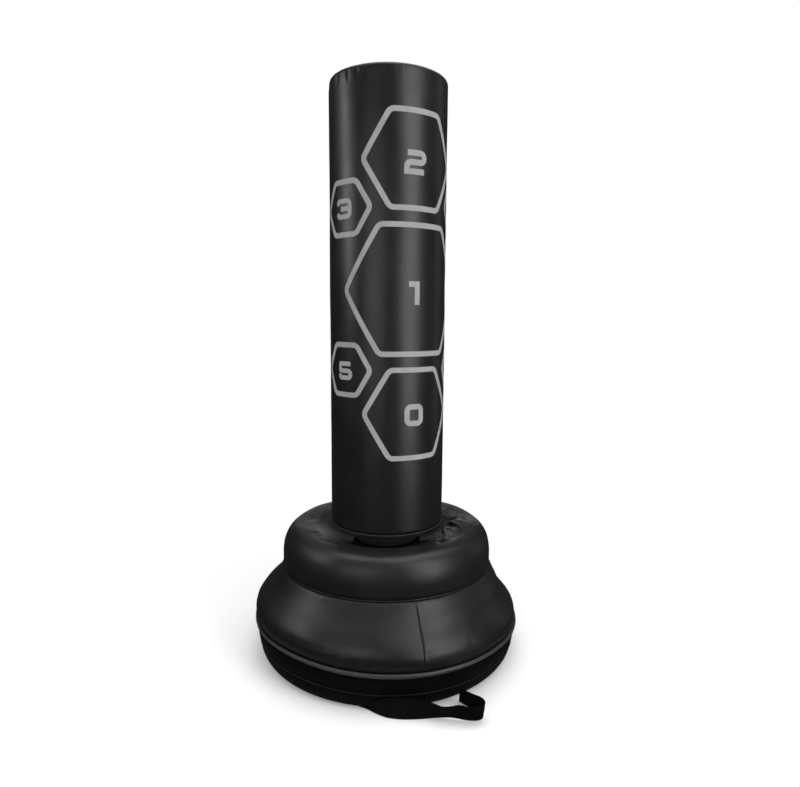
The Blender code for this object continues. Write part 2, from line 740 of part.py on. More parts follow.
def make_bag_frame(bag):
    """Plate, bolts, board and stiff tube inside the foot of the bag."""
    plate_top = UPPER_PLATE_FOOT + PLATE_THICK
    make_spring_seat(
        "upper_spring_plate", UPPER_PLATE_FOOT, False, SPRING_TOP - PLATE_THICK, plate_top + PLATE_THICK, bag
    )
    length = PLATE_THICK + 2 * GAP + BOARD_THICK
    for k, place in enumerate(bolt_places()):
        make_bolt(f"upper_plate_bolt_{k + 1}", place, UPPER_PLATE_FOOT - GAP, True, length, bag)
    board_top = BOARD_FOOT + BOARD_THICK
    radius = BAG_RADIUS - COVER_THICK - GAP
    disc = [(0.0, BOARD_FOOT), (radius, BOARD_FOOT), (radius, board_top), (0.0, board_top)]
    board = add_piece("bottom_board", turned("bottom_board", disc), PLYWOOD, bag)
    cut_bolt_holes(board, BOARD_FOOT - PLATE_THICK, board_top + PLATE_THICK)
    foot = board_top + 2 * GAP
    top = tube_top()
    inner = TUBE_RADIUS - TUBE_WALL
    tube = [(TUBE_RADIUS, foot), (TUBE_RADIUS, top), (inner, top), (inner, foot)]
    add_piece("core_tube", turned("core_tube", tube, SMALL_SEGMENTS), TUBE_PLASTIC, bag)
    plug = inner - GAP
    seat = top + GAP
    flange_top = seat + TUBE_CAP_FLANGE
    cap = [(0.0, top - TUBE_CAP_PLUG), (plug, top - TUBE_CAP_PLUG), (plug, seat)]
    cap += [(TUBE_RADIUS, seat), (TUBE_RADIUS, flange_top), (0.0, flange_top)]
    add_piece("tube_cap", turned("tube_cap", cap, SMALL_SEGMENTS), TUBE_PLASTIC, bag)


def top_foam_foot():
    return BAG_TOP - COVER_THICK - 3 * GAP - TOP_FOAM_DEPTH


def tube_top():
    return top_foam_foot() - 2 * GAP - TUBE_CAP_FLANGE


def make_bag_foam(bag):
    """Two foam sleeves round the tube, and a disc over them that rounds the top edge."""
    foot = BOARD_FOOT + BOARD_THICK + GAP
    top = top_foam_foot() - GAP
    outer = BAG_RADIUS - COVER_THICK - GAP
    facet = math.cos(math.pi / ROUND_SEGMENTS)
    tube_clear = (TUBE_RADIUS + GAP) / facet
    for name, inside, outside in (
        ("inner_foam_sleeve", tube_clear, INNER_FOAM_RADIUS),
        ("outer_foam_sleeve", INNER_FOAM_RADIUS + GAP, outer),
    ):
        section = [(outside, foot), (outside, top), (inside, top), (inside, foot)]
        add_piece(name, turned(name, section), FOAM, bag)
    foot = top_foam_foot()
    edge = TOP_EDGE_RADIUS - COVER_THICK
    flat = foot + TOP_FOAM_DEPTH - TOP_WELT_RADIUS
    section = [(0.0, foot), (outer, foot)]
    section += arc_line(outer - edge, flat - edge, edge, 0, 90, 3)
    section += [(0.0, flat)]
    add_piece("top_foam_disc", turned("top_foam_disc", section), FOAM, bag)


def make_bag_cover(bag):
    """The tubular cover, its hem and bottom panel, and the flat top panel inside the seam."""
    hem_height = BAG_FOOT + HEM_RADIUS
    cover_foot = hem_height + HEM_RADIUS + GAP
    edge = TOP_EDGE_RADIUS
    line = [(BAG_RADIUS, cover_foot)]
    line += arc_line(BAG_RADIUS - edge, BAG_TOP - edge, edge, 0, 90, 3)
    add_piece("bag_cover", turned("bag_cover", skin(line, COVER_THICK)), LEATHERETTE, bag)
    hem = bead(BAG_RADIUS, hem_height, HEM_RADIUS)
    add_piece("bottom_hem", turned("bottom_hem", hem), PIPING_CLOTH, bag)
    outer = BAG_RADIUS - HEM_RADIUS - GAP
    inner = PLATE_RADIUS + GAP
    facet = math.cos(math.pi / ROUND_SEGMENTS)
    panel_top = BAG_FOOT + BAG_PANEL_THICK
    bore = inner / facet
    section = [(outer, BAG_FOOT), (outer, panel_top), (bore, panel_top), (bore, BAG_FOOT)]
    add_piece("bag_bottom_panel", turned("bag_bottom_panel", section), SKIRT_CLOTH, bag)
    welt_radius = BAG_RADIUS - edge - GAP - TOP_WELT_RADIUS
    welt = bead(welt_radius, BAG_TOP - TOP_WELT_RADIUS, TOP_WELT_RADIUS)
    add_piece("top_seam_welt", turned("top_seam_welt", welt), LEATHERETTE, bag)
    outer = welt_radius - TOP_WELT_RADIUS - GAP
    top = BAG_TOP - GAP
    foot = top - COVER_THICK
    section = [(0.0, foot), (outer, foot), (outer, top), (0.0, top)]
    add_piece("bag_top_panel", turned("bag_top_panel", section), LEATHERETTE, bag)


def zip_plane():
    """Tilt that turns +Z to the normal of the leaning zip line."""
    uphill = slant_direction()
    return Matrix.Rotation(math.radians(RIM_SLANT), 4, Vector((uphill.y, -uphill.x, 0.0)))


def make_zip_slider():
    """The slider rides outside the chain, with its pull hanging between two ears."""
    tilt = zip_plane()
    ring = add_axis("zip_slide_axis", Vector((0.0, 0.0, ZIP_CENTRE)), tilt)
    turn = Matrix.Rotation(math.radians(SLIDER_AZIMUTH), 4, "Z")
    world = ring.matrix_world @ turn
    inner = RIM_RADIUS + 2 * GAP
    size = (SLIDER_LENGTH, SLIDER_DEPTH, ZIP_CHAIN_WIDTH)
    body = box("zip_slider", size, (0, -inner - SLIDER_DEPTH / 2, 0))
    body.transform(world)
    slider = add_piece("zip_slider", body, ZIP_METAL, ring)
    barrel_y = -inner - SLIDER_DEPTH - EAR_REACH / 2
    for side in (-1, 1):
        centre = (side * (PULL_WIDTH / 2 + GAP + EAR_WALL / 2), barrel_y, 0)
        ear = box(f"slider_ear_{side + 2}", (EAR_WALL, EAR_REACH * 2, EAR_HEIGHT), centre)
        ear.transform(world)
        combine(slider, ear, "UNION")
    place = world @ Vector((0, barrel_y, 0))
    pull_axis = add_axis("zip_pull_axis", place, tilt @ turn, parent=ring)
    barrel = rod("zip_pull", PULL_BARREL_RADIUS, -PULL_WIDTH / 2, PULL_WIDTH / 2)
    barrel.transform(Matrix.Rotation(math.pi / 2, 4, "Y"))
    barrel.transform(Matrix.Translation((0, barrel_y, 0)))
    barrel.transform(world)
    pull = add_piece("zip_pull", barrel, ZIP_METAL, pull_axis)
    size = (PULL_LEAF_WIDTH, PULL_THICK, PULL_LENGTH)
    leaf = box("pull_leaf", size, (0, barrel_y, -PULL_LENGTH / 2))
    leaf.transform(world)
    combine(pull, leaf, "UNION")


def smooth_route():
    """The strap's middle line on the floor: a Catmull-Rom curve through the points chosen for it."""
    places = [round_point(a, PAN_SEAM_RADIUS + off).to_2d() for a, off in HANDLE_ROUTE]
    ends = [places[0] * 2 - places[1]] + places + [places[-1] * 2 - places[-2]]
    route = []
    for k in range(1, len(ends) - 2):
        a, b, c, d = ends[k - 1 : k + 3]
        for step in range(ROUTE_STEPS):
            t = step / ROUTE_STEPS
            square = (a * 2 - b * 5 + c * 4 - d) * t**2
            cube = (b * 3 - a - c * 3 + d) * t**3
            route.append((b * 2 + (c - a) * t + square + cube) / 2)
    return route + [places[-1]]


def hinge_distance():
    return RIM_RADIUS + HINGE_STAND_OFF


def split_route(route):
    """Cut the route where it crosses the hinge line: left root, free loop, right root."""
    outward = round_point(HANDLE_AZIMUTH, 1.0).to_2d()
    reach = [place.dot(outward) - hinge_distance() for place in route]
    free = [k for k, value in enumerate(reach) if value > 0]
    first, last = free[0], free[-1]

    def crossing(inside, outside):
        share = -reach[inside] / (reach[outside] - reach[inside])
        return route[inside].lerp(route[outside], share)

    left = crossing(first - 1, first)
    right = crossing(last + 1, last)
    trim_left = (route[first] - left).normalized() * GAP / 2
    trim_right = (route[last] - right).normalized() * GAP / 2
    loop = [left + trim_left] + route[first : last + 1] + [right + trim_right]
    left_root = route[:first] + [left - trim_left]
    right_root = [right - trim_right] + route[last + 1 :]
    return left_root, loop, right_root


def strap(name, route, parent=None):
    """A flat band that stands on its edge along the route."""
    bm = bmesh.new()
    rings = []
    for k, place in enumerate(route):
        ahead = route[min(k + 1, len(route) - 1)]
        behind = route[max(k - 1, 0)]
        way = (ahead - behind).normalized()
        side = Vector((way.y, -way.x)) * STRAP_THICK / 2
        left, right = place + side, place - side
        corners = [(left, 0.0), (left, STRAP_WIDTH), (right, STRAP_WIDTH), (right, 0.0)]
        rings.append([bm.verts.new((*spot, height)) for spot, height in corners])
    for ring, following in zip(rings, rings[1:]):
        for k in range(4):
            after = (k + 1) % 4
            bm.faces.new((ring[k], ring[after], following[after], following[k]))
    bm.faces.new(rings[0])
    bm.faces.new(rings[-1])
    return add_piece(name, finish_mesh(bm, name), WEBBING, parent)


def make_handle():
    """The loop lifts about a line just outside the rim, at the strap's upper edge."""
    left_root, loop, right_root = split_route(smooth_route())
    strap("handle_root_left", left_root)
    strap("handle_root_right", right_root)
    place = round_point(HANDLE_AZIMUTH, hinge_distance(), STRAP_WIDTH + GAP)
    hinge = add_axis("handle_axis", place, Matrix.Rotation(math.radians(HANDLE_AZIMUTH), 4, "Z"))
    strap("handle_strap", loop, hinge)
    print("handle hinge at", [round(value, 5) for value in place])


def main():
    clear_scene()
    make_bottom_panel()
    make_pan()
    make_zip()
    make_covers()
    make_base_foam()
    make_tank()
    make_filler_cap()
    neck = add_axis("neck_tilt_axis", Vector((0.0, 0.0, TILT_HEIGHT)))
    bag = add_axis("bag_tilt_axis", Vector((0.0, 0.0, TILT_HEIGHT)), parent=neck)
    make_neck(neck)
    make_bag_frame(bag)
    make_bag_foam(bag)
    make_bag_cover(bag)
    make_zip_slider()
    make_handle()


main()
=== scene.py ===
# %% [markdown]
# # A freestanding punching bag
#
# The real object is a foam-padded cylinder in black coated fabric. It stands on a short coil spring, over a round
# base of two padded tiers. A matt black pan is zipped on under them, and a webbing handle stands on the floor in
# front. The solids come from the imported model. This lesson dresses them, piece by piece, in metres in their frame.

# %% Load the frame and keep its box
import math

import bmesh
import bpy
import numpy as np
from mathutils import Matrix, Vector


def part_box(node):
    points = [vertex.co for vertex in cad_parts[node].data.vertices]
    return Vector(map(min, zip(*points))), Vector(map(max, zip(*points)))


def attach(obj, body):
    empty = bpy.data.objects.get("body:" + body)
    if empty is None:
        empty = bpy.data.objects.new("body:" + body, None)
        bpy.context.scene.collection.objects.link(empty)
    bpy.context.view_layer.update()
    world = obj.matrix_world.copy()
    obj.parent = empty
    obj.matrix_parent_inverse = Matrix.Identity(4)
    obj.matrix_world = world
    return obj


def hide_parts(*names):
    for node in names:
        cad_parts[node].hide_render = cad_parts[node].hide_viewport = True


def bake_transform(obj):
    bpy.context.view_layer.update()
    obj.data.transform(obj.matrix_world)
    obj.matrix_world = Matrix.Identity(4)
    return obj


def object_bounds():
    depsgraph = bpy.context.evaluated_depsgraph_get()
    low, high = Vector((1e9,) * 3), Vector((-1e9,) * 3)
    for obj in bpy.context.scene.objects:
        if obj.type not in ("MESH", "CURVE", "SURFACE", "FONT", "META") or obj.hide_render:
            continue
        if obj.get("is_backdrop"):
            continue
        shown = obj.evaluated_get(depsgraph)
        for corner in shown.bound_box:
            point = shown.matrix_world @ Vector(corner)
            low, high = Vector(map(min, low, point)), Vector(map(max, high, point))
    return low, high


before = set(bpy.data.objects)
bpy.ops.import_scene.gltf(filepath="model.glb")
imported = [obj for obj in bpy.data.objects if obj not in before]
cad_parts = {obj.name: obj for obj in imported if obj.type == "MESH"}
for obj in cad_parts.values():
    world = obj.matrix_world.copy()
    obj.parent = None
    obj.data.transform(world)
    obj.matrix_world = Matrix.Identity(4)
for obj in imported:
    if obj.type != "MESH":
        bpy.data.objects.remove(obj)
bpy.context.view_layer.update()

# %% [markdown]
# ## Measures
#
# Each piece goes where its solid is, so the sizes are read from the frame's boxes where a box gives them. The rest
# repeats the named sizes of the model. Azimuths run from the front, -Y, towards +X.

# %% Sizes that the pieces share
TURN = 2 * np.pi
BAG_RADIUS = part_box("bag_cover")[1].x
BAG_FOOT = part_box("bottom_hem")[0].z
BAG_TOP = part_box("top_seam_welt")[1].z
TIER_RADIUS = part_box("upper_tier_cover")[1].x
RIM_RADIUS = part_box("pan_skirt")[1].x
SEAM_HEIGHT = float(sum(corner.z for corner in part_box("tier_seam_welt"))) / 2
PAN_BULGE = 0.005
PAN_SEAM_RADIUS = RIM_RADIUS - PAN_BULGE
PAN_SEAM_HEIGHT = 0.047
FLOOR_ROLL = 0.026
FLOOR_RADIUS = PAN_SEAM_RADIUS - FLOOR_ROLL
TANK_RADIUS = FLOOR_RADIUS - 0.018
TANK_TOP = 0.2003
TANK_CORNER = 0.040
COVER_THICK = 0.002
GAP = 0.0003
CHAIN_HEIGHT = 0.0933
PIPING_HEIGHT = 0.1011
PIPING_RADIUS = 0.0045
COVER_FOOT = 0.1059
CREST_HEIGHT = BAG_FOOT - 0.008
CREST_RADIUS = TIER_RADIUS - 0.0505
DISH_DEPTH = 0.048
NECK_HEIGHT = CREST_HEIGHT - DISH_DEPTH
NECK_RADIUS = 0.0845
TILT_HEIGHT = 0.27315
print(f"bag {BAG_RADIUS * 2000:.0f} mm across, tiers {TIER_RADIUS * 2000:.0f} and {RIM_RADIUS * 2000:.0f} mm")


# %% [markdown]
# ## Surfaces on a grid
#
# A surface here is an array of points with rows up its section and columns round it. Working out the whole array at
# once is quick, and the array can be bent, puckered or simulated before it becomes a mesh.

# %% Helpers for angles and lines
def plan(degrees, radius=1.0):
    """A place seen from above: x is the radius times the azimuth's sine, y is minus the radius times its cosine."""
    turn = math.radians(degrees)
    return radius * np.array([math.sin(turn), -math.cos(turn)])


def around(azimuth, radius, height):
    """x is the radius times the azimuth's sine, y is minus the radius times its cosine, and z is the height."""
    azimuth, radius, height = np.broadcast_arrays(azimuth, radius, height)
    return np.stack([radius * np.sin(azimuth), -radius * np.cos(azimuth), height], axis=-1)


def full_turn(count):
    """Azimuths of the columns of a closed ring."""
    return np.linspace(0, TURN, count, endpoint=False)[None, :]


def short_way(angle):
    """The same angle between minus and plus half a turn."""
    return (angle + np.pi) % TURN - np.pi


def beside(azimuth, middle):
    """Radians from a middle in degrees, the short way round."""
    return short_way(azimuth - math.radians(middle))


def ease(share):
    """Three times the share squared less twice its cube: 0 below 0, 1 above 1, and level at both ends."""
    share = np.clip(share, 0.0, 1.0)
    return share * share * (3 - 2 * share)


def hump(off, width):
    """A bell: e to the minus (distance / width) squared."""
    return np.exp(-((off / width) ** 2))


def pairs(first, second):
    """Two values at each place, side by side."""
    return np.stack(np.broadcast_arrays(first, second), axis=-1)


def unit(vectors):
    """Each vector over its own length."""
    return vectors / np.linalg.norm(vectors, axis=-1, keepdims=True)


def left_of(way):
    """Each direction in a plane turned a quarter to its left."""
    return pairs(-way[:, 1], way[:, 0])


def thick_section(line, thick):
    """The line, and back along a copy moved to its left by the thickness, as a closed section."""
    return np.vstack([line, (line + left_of(unit(np.gradient(line, axis=0))) * thick)[::-1]])


def reach_along(line):
    """Distance along a line to each of its points."""
    return np.concatenate([[0], np.cumsum(np.linalg.norm(np.diff(line, axis=0), axis=1))])


def even(line, count):
    """The same line with its points an equal distance apart."""
    reach = reach_along(line)
    at = np.linspace(0, reach[-1], count)
    return np.stack([np.interp(at, reach, line[:, k]) for k in range(line.shape[1])], axis=1)


def smooth_line(places, steps):
    """A Catmull-Rom curve: each span is a cubic of its four nearest points."""
    ends = np.vstack([places[0] * 2 - places[1], places, places[-1] * 2 - places[-2]])
    a, b, c, d = (ends[k : k + len(places) - 1, None] for k in range(4))
    t = (np.arange(steps) / steps)[None, :, None]
    curve = (b * 2 + (c - a) * t + (a * 2 - b * 5 + c * 4 - d) * t**2 + (b * 3 - a - c * 3 + d) * t**3) / 2
    return np.vstack([curve.reshape(-1, places.shape[1]), places[-1:]])


def full_corner(count, power):
    """From (1, 0) to (0, 1): cosine and sine of a quarter turn, to a power below one that makes it fuller."""
    angle = np.radians(np.linspace(0, 90, count))[1:]
    return pairs(np.maximum(np.cos(angle), 0), np.sin(angle)) ** power


def ripples(azimuth, along, seed, count, turns, waves):
    """A smooth random field about zero: a sum of cosines with whole turns round the ring, and waves per metre."""
    dice = np.random.default_rng(seed)
    total = 0.0
    for _ in range(count):
        turn = dice.integers(turns[0], turns[1] + 1)
        wave = dice.uniform(-waves, waves) * TURN
        total = total + dice.uniform(0.5, 1.0) * np.cos(turn * azimuth + wave * along + dice.uniform(0, TURN))
    return total / math.sqrt(count)


print("helpers for lines ready")


# %% Helpers for grids and meshes
def swept(line, columns):
    """Carry a section round the axis: one row for each of its points."""
    return around(full_turn(columns), line[:, :1], line[:, 1:])


def grid_normals(points):
    """Unit vectors square to a ring's surface: the direction round it times the direction up its section."""
    up = np.gradient(points, axis=0)
    turn = np.roll(points, -1, axis=1) - np.roll(points, 1, axis=1)
    normal = np.cross(turn, up)
    return normal / np.maximum(np.linalg.norm(normal, axis=-1, keepdims=True), 1e-12)


def raised(points, height):
    """Each point plus its normal times a height."""
    return points + grid_normals(points) * height[..., None]


def ring_uv(points, radius):
    """Metres round the ring and metres along its section, for woven patterns."""
    columns = points.shape[1]
    return pairs((np.arange(columns) / columns * TURN * radius)[None, :], reach_along(points[:, 0])[:, None])


def grid_faces(rows, columns, wrap_rows, wrap_columns):
    """Quads that join each point to the next column and the next row, facing away from the axis."""
    index = np.arange(rows * columns).reshape(rows, columns)
    if wrap_rows:
        index = np.vstack([index, index[:1]])
    if wrap_columns:
        index = np.hstack([index, index[:, :1]])
    corners = (index[:-1, :-1], index[:-1, 1:], index[1:, 1:], index[1:, :-1])
    return np.stack(corners, axis=-1).reshape(-1, 4)


def mesh_of(name, points, faces, uv=None):
    """A smooth mesh from an array of places and an array of quads, with a UV map where one is given."""
    mesh = bpy.data.meshes.new(name)
    mesh.vertices.add(len(points))
    mesh.vertices.foreach_set("co", np.ascontiguousarray(points, np.float32).ravel())
    mesh.loops.add(faces.size)
    mesh.loops.foreach_set("vertex_index", faces.ravel().astype(np.int32))
    mesh.polygons.add(len(faces))
    mesh.polygons.foreach_set("loop_start", np.arange(0, faces.size, faces.shape[1], dtype=np.int32))
    if uv is not None:
        layer = mesh.uv_layers.new(name="UVMap")
        layer.data.foreach_set("uv", np.ascontiguousarray(uv[faces.ravel()], np.float32).ravel())
    mesh.update()
    mesh.validate()
    mesh.shade_smooth()
    return mesh


def grid_mesh(name, points, wrap_rows=False, wrap_columns=True, uv=None):
    """The mesh of a grid of points."""
    faces = grid_faces(*points.shape[:2], wrap_rows, wrap_columns)
    return mesh_of(name, points.reshape(-1, 3), faces, None if uv is None else uv.reshape(-1, 2))


def close_seams(mesh):
    """Merge points that share a place, and turn the faces outwards."""
    shape = bmesh.new()
    shape.from_mesh(mesh)
    bmesh.ops.remove_doubles(shape, verts=shape.verts, dist=1e-6)
    bmesh.ops.recalc_face_normals(shape, faces=shape.faces)
    shape.to_mesh(mesh)
    shape.free()
    return mesh


def tube_mesh(name, points, uv=None):
    """An open tube with its section in the rows: a column of the end's mean point closes each end."""
    ends = np.repeat(points.mean(axis=0, keepdims=True), len(points), axis=0)
    closed = np.concatenate([ends[:, :1], points, ends[:, -1:]], axis=1)
    return close_seams(grid_mesh(name, closed, wrap_rows=True, wrap_columns=False, uv=uv))


def put(name, data):
    """Link an object with this mesh, lamp or camera into the scene, at the origin."""
    made = bpy.data.objects.new(name, data)
    bpy.context.scene.collection.objects.link(made)
    return made


def add_piece(name, mesh, body, material, slot, *nodes, sharp=None):
    """A piece that rides on a body and stands for CAD nodes. Edges over the sharp angle in degrees stay crisp."""
    piece = put(name, mesh)
    piece.data.materials.append(material)
    if sharp:
        mesh.set_sharp_from_angle(angle=math.radians(sharp))
    if body:
        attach(piece, body)
    if nodes:
        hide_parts(*nodes)
    return piece


def ring_piece(name, points, radius, body, material, slot, *nodes, sharp=None):
    """A closed section round the axis as a piece, with its weave in metres at the radius."""
    mesh = grid_mesh(name, points, wrap_rows=True, uv=ring_uv(points, radius))
    return add_piece(name, mesh, body, material, slot, *nodes, sharp=sharp)


print("helpers for meshes ready")

# %% [markdown]
# ## How the base has settled
#
# The zip line of the photographed base isn't level: it climbs away from the camera, and the shoulder above it is
# fuller on the left. The model's solids are moved by one map, and the same map is repeated here, so that every new
# piece of the base lands on its solid. The line also hangs a few millimetres lower at both sides, which is added.

# %% The settling map
UPHILL = plan(205.0)
FULL_SIDE = plan(241.5)
FULLNESS = 0.008
SLOPE = math.tan(math.radians(2.0))
SAGS = [(-103.0, 42.0, 0.013), (54.0, 42.0, 0.008)]


def azimuth_of(points):
    """The azimuth of each point: the arc tangent of x over minus y."""
    return np.arctan2(points[..., 0], -points[..., 1])


def nearness(azimuth, middle, half):
    """1 at the middle, eased to 0 at half the width on either side."""
    return ease(1 - np.abs(beside(azimuth, middle)) / math.radians(half))


def settle(points):
    """Height grows by slope x distance uphill x fades, less the sags. Radius grows towards the full side."""
    flat, z = points[..., :2], points[..., 2]
    radius = np.linalg.norm(flat, axis=-1)
    full_top = COVER_FOOT + 0.006
    fade_top = TANK_TOP - 0.040
    rise = ease((z - 0.003) / 0.072)
    fall = ease((fade_top - z) / (fade_top - full_top))
    middle, half = (full_top + SEAM_HEIGHT) / 2, (SEAM_HEIGHT - full_top) / 2
    out = ease((radius - TANK_RADIUS - GAP) / (RIM_RADIUS - TANK_RADIUS) * 2)
    belly = ease(1 - np.abs(z - middle) / half)
    swell = 1 + FULLNESS * out * belly * (flat @ FULL_SIDE) / np.maximum(radius, GAP) ** 2
    along = flat @ UPHILL
    sag = 0.0
    for middle, half, drop in SAGS:
        sag = sag + drop * nearness(azimuth_of(points), middle, half) * ease((radius - TANK_RADIUS) / 0.04)
    return np.concatenate([flat * swell[..., None], (z + rise * fall * (SLOPE * along - sag))[..., None]], axis=-1)


print(f"the rim climbs {SLOPE * 2 * RIM_RADIUS * 1000:.0f} mm from its low side to its high side")


# %% [markdown]
# ## Finishes
#
# A finish is a few procedural nodes on Object coordinates, or on the piece's own UV map where a weave follows the
# cloth. The helper adds one node and wires its inputs in a single call.

# %% A helper that adds a node and wires it
def wire(material, kind, inputs=None, **settings):
    """Add a shader node of a kind. An input takes a value or another node's socket."""
    tree = material.node_tree
    made = tree.nodes.new("ShaderNode" + kind)
    for name, value in settings.items():
        setattr(made, name, value)
    for name, value in (inputs or {}).items():
        if isinstance(value, bpy.types.NodeSocket):
            tree.links.new(value, made.inputs[name])
        else:
            made.inputs[name].default_value = value
    return made


def new_finish(name, colour, roughness, **sockets):
    """A material with its constants on the shader's own sockets."""
    material = bpy.data.materials.new(name)
    material.use_nodes = True
    inputs = material.node_tree.nodes["Principled BSDF"].inputs
    inputs["Base Color"].default_value = (*colour, 1.0)
    inputs["Roughness"].default_value = roughness
    for socket, value in sockets.items():
        inputs[socket.replace("_", " ")].default_value = value
    return material


def feed(material, socket, source):
    """Link a source to one of the shader's sockets."""
    material.node_tree.links.new(source, material.node_tree.nodes["Principled BSDF"].inputs[socket])


def own_place(material):
    """Each point's place in metres in its piece's own axes."""
    return wire(material, "TexCoord").outputs["Object"]


def noise(material, scale, detail, **more):
    """A noise from 0 to 1 with so many features per metre."""
    inputs = {"Vector": own_place(material), "Scale": scale, "Detail": detail, **more}
    return wire(material, "TexNoise", inputs).outputs["Fac"]


def spread(material, source, low=0.0, high=1.0, start=0.3, stop=0.7):
    """Map a texture's value from its start and stop to a range."""
    values = {"Value": source, "From Min": start, "From Max": stop, "To Min": low, "To Max": high}
    return wire(material, "MapRange", values).outputs["Result"]


def tint(material, source, dark, light):
    """Colour the shader between two colours as the source goes from 0 to 1."""
    mix = wire(material, "Mix", {0: source, 6: (*dark, 1), 7: (*light, 1)}, data_type="RGBA")
    feed(material, "Base Color", mix.outputs[2])


def bump(material, height, distance, strength=1.0, under=None):
    """Lift the surface by height x distance x strength, on top of an earlier bump where one is given."""
    values = {"Height": height, "Distance": distance, "Strength": strength}
    if under:
        values["Normal"] = under
    normal = wire(material, "Bump", values).outputs["Normal"]
    feed(material, "Normal", normal)
    return normal


print("node helpers ready")

# %% [markdown]
# ### Coated fabric
#
# The covers are cloth with a black plastic skin that imitates leather: half gloss, a fine pebble grain, and broad
# patches that are a little duller where hands and gloves have rubbed. The pebbles are Voronoi cells about a
# millimetre across, and two slower noises vary the gloss, which is what breaks up the long highlights.

# %% The leatherette of the bag and the tiers
def leatherette(name, colour, low_gloss, high_gloss):
    """Roughness runs between two values with the patches and rubs, and pebbles and creases lift the surface."""
    material = new_finish(name, colour, 0.45, Specular_IOR_Level=0.5)
    patches = noise(material, 9.0, 3.0, Distortion=0.6)
    rubs = noise(material, 60.0, 4.0, Roughness=0.6)
    both = wire(material, "Mix", {0: 0.35, 2: patches, 3: rubs}, data_type="FLOAT").outputs[0]
    feed(material, "Roughness", spread(material, both, low_gloss, high_gloss))
    tint(material, spread(material, patches), colour, [channel * 1.35 for channel in colour])
    cells = {"Vector": own_place(material), "Scale": 850.0, "Smoothness": 0.4}
    pebbles = wire(material, "TexVoronoi", cells, feature="SMOOTH_F1").outputs["Distance"]
    grain = bump(material, pebbles, 0.00012, 0.35)
    bump(material, noise(material, 140.0, 3.0), 0.0006, 0.25, grain)
    return material


bag_leather = leatherette("bag_leatherette", (0.0045, 0.0045, 0.0045), 0.34, 0.42)
tier_leather = leatherette("tier_leatherette", (0.0045, 0.0045, 0.0044), 0.38, 0.48)
print("two leatherette finishes")

# %% [markdown]
# ### Woven cloths
#
# The pan, tapes and handle are woven nylon, dull and very black. A plain weave is two sets of rounded bands, one
# along U and one along V, and a checkerboard that says which set is on top. U and V are metres on the cloth, so the
# threads keep their size round the ring.

# %% A weave from bands and a checkerboard
# A wave texture turns 20 times in TURN units, so this scale gives one band a thread.
BAND_SCALE = TURN / 20.0 / 2.0


def weave(name, grey, roughness, thread, depth, stretch=1.0, gloss=0.08):
    """Height is that of the band on top. Colour runs from the grey to a worn one with height x dust."""
    material = new_finish(name, [grey] * 3, roughness, Specular_IOR_Level=gloss)
    cloth = wire(material, "UVMap", uv_map="UVMap").outputs["UV"]
    size = (1.0 / thread, 1.0 / thread / stretch, 1)
    sized = wire(material, "Mapping", {"Vector": cloth, "Scale": size}).outputs["Vector"]
    bands = {"Vector": sized, "Scale": BAND_SCALE}
    across, along = (
        wire(material, "TexWave", bands, wave_type="BANDS", bands_direction=way).outputs["Fac"] for way in "XY"
    )
    turns = wire(material, "TexChecker", {"Vector": sized, "Scale": 1.0}).outputs["Fac"]
    top = wire(material, "Mix", {0: turns, 2: across, 3: along}, data_type="FLOAT").outputs[0]
    bump(material, top, depth)
    dusty = wire(material, "Math", {0: top, 1: noise(material, 25.0, 5.0)}, operation="MULTIPLY").outputs[0]
    tint(material, dusty, [grey] * 3, [grey * 1.8 + 0.001] * 3)
    return material


pan_cloth = weave("pan_cloth", 0.0010, 0.85, 0.0011, 0.0002)
tape_cloth = weave("zip_tape_cloth", 0.0030, 0.8, 0.0007, 0.00015)
webbing = weave("handle_webbing", 0.0014, 0.75, 0.0016, 0.0005, stretch=1.6)
# The boot's grey is far lighter than the other black cloths: it paints light into the shade under the bag.
boot_cloth_painted_light = weave("boot_cloth_painted_light", 0.045, 0.6, 0.0011, 0.00008, gloss=0.5)
print("four woven finishes")

# %% [markdown]
# ### Small finishes
#
# Piping, printed ink, zip nylon, painted metal, and what is inside the base and the bag. Each has the grain or wear
# of its own making: moulded plastic is faintly mottled, plated steel is a little uneven, foam has open cells.

# %% Piping, ink, nylon and metal
def speckled(name, colour, roughness, scale, depth, change=0.25, **sockets):
    """A noise varies the colour and roughness a little and lifts the surface by the depth."""
    material = new_finish(name, colour, roughness, **sockets)
    grain = noise(material, scale, 5.0, Roughness=0.6)
    dark, light = ([min(1.0, channel * level) for channel in colour] for level in (1 - change, 1 + change))
    tint(material, spread(material, grain), dark, light)
    feed(material, "Roughness", spread(material, grain, roughness * 0.88, roughness * 1.12))
    bump(material, grain, depth, 0.5)
    return material


# The piping's colour is lighter than the cover's: a painted highlight along the rim.
piping_cloth = speckled("rim_piping_painted_highlight", (0.030, 0.030, 0.030), 0.45, 160.0, 0.0003)
dark_binding = speckled("dark_binding", (0.004, 0.004, 0.004), 0.6, 200.0, 0.0002, Specular_IOR_Level=0.25)
# The hem's lighter colour paints a fine highlight line at the bag's foot.
hem_painted_highlight = speckled("bag_hem_painted_highlight", (0.032, 0.032, 0.032), 0.55, 300.0, 0.0002, Specular_IOR_Level=0.25)
ink = speckled("silver_grey_ink", (0.285, 0.285, 0.281), 0.6, 22.0, 0.00003, 0.10, Specular_IOR_Level=0.25)
zip_nylon = speckled("zip_nylon", (0.030, 0.030, 0.031), 0.35, 500.0, 0.00005)
black_metal = speckled("black_zip_metal", (0.06, 0.06, 0.063), 0.32, 350.0, 0.00004, 0.3, Metallic=0.9)
spring_steel = speckled("spring_steel", (0.30, 0.30, 0.31), 0.34, 120.0, 0.00005, 0.25, Metallic=1.0)
foam = speckled("grey_foam", (0.20, 0.20, 0.21), 0.95, 600.0, 0.0012, 0.3)
rubber = speckled("black_rubber", (0.012, 0.012, 0.012), 0.68, 300.0, 0.00015)
tank = speckled("tank_plastic", (0.020, 0.020, 0.022), 0.45, 180.0, 0.0002)
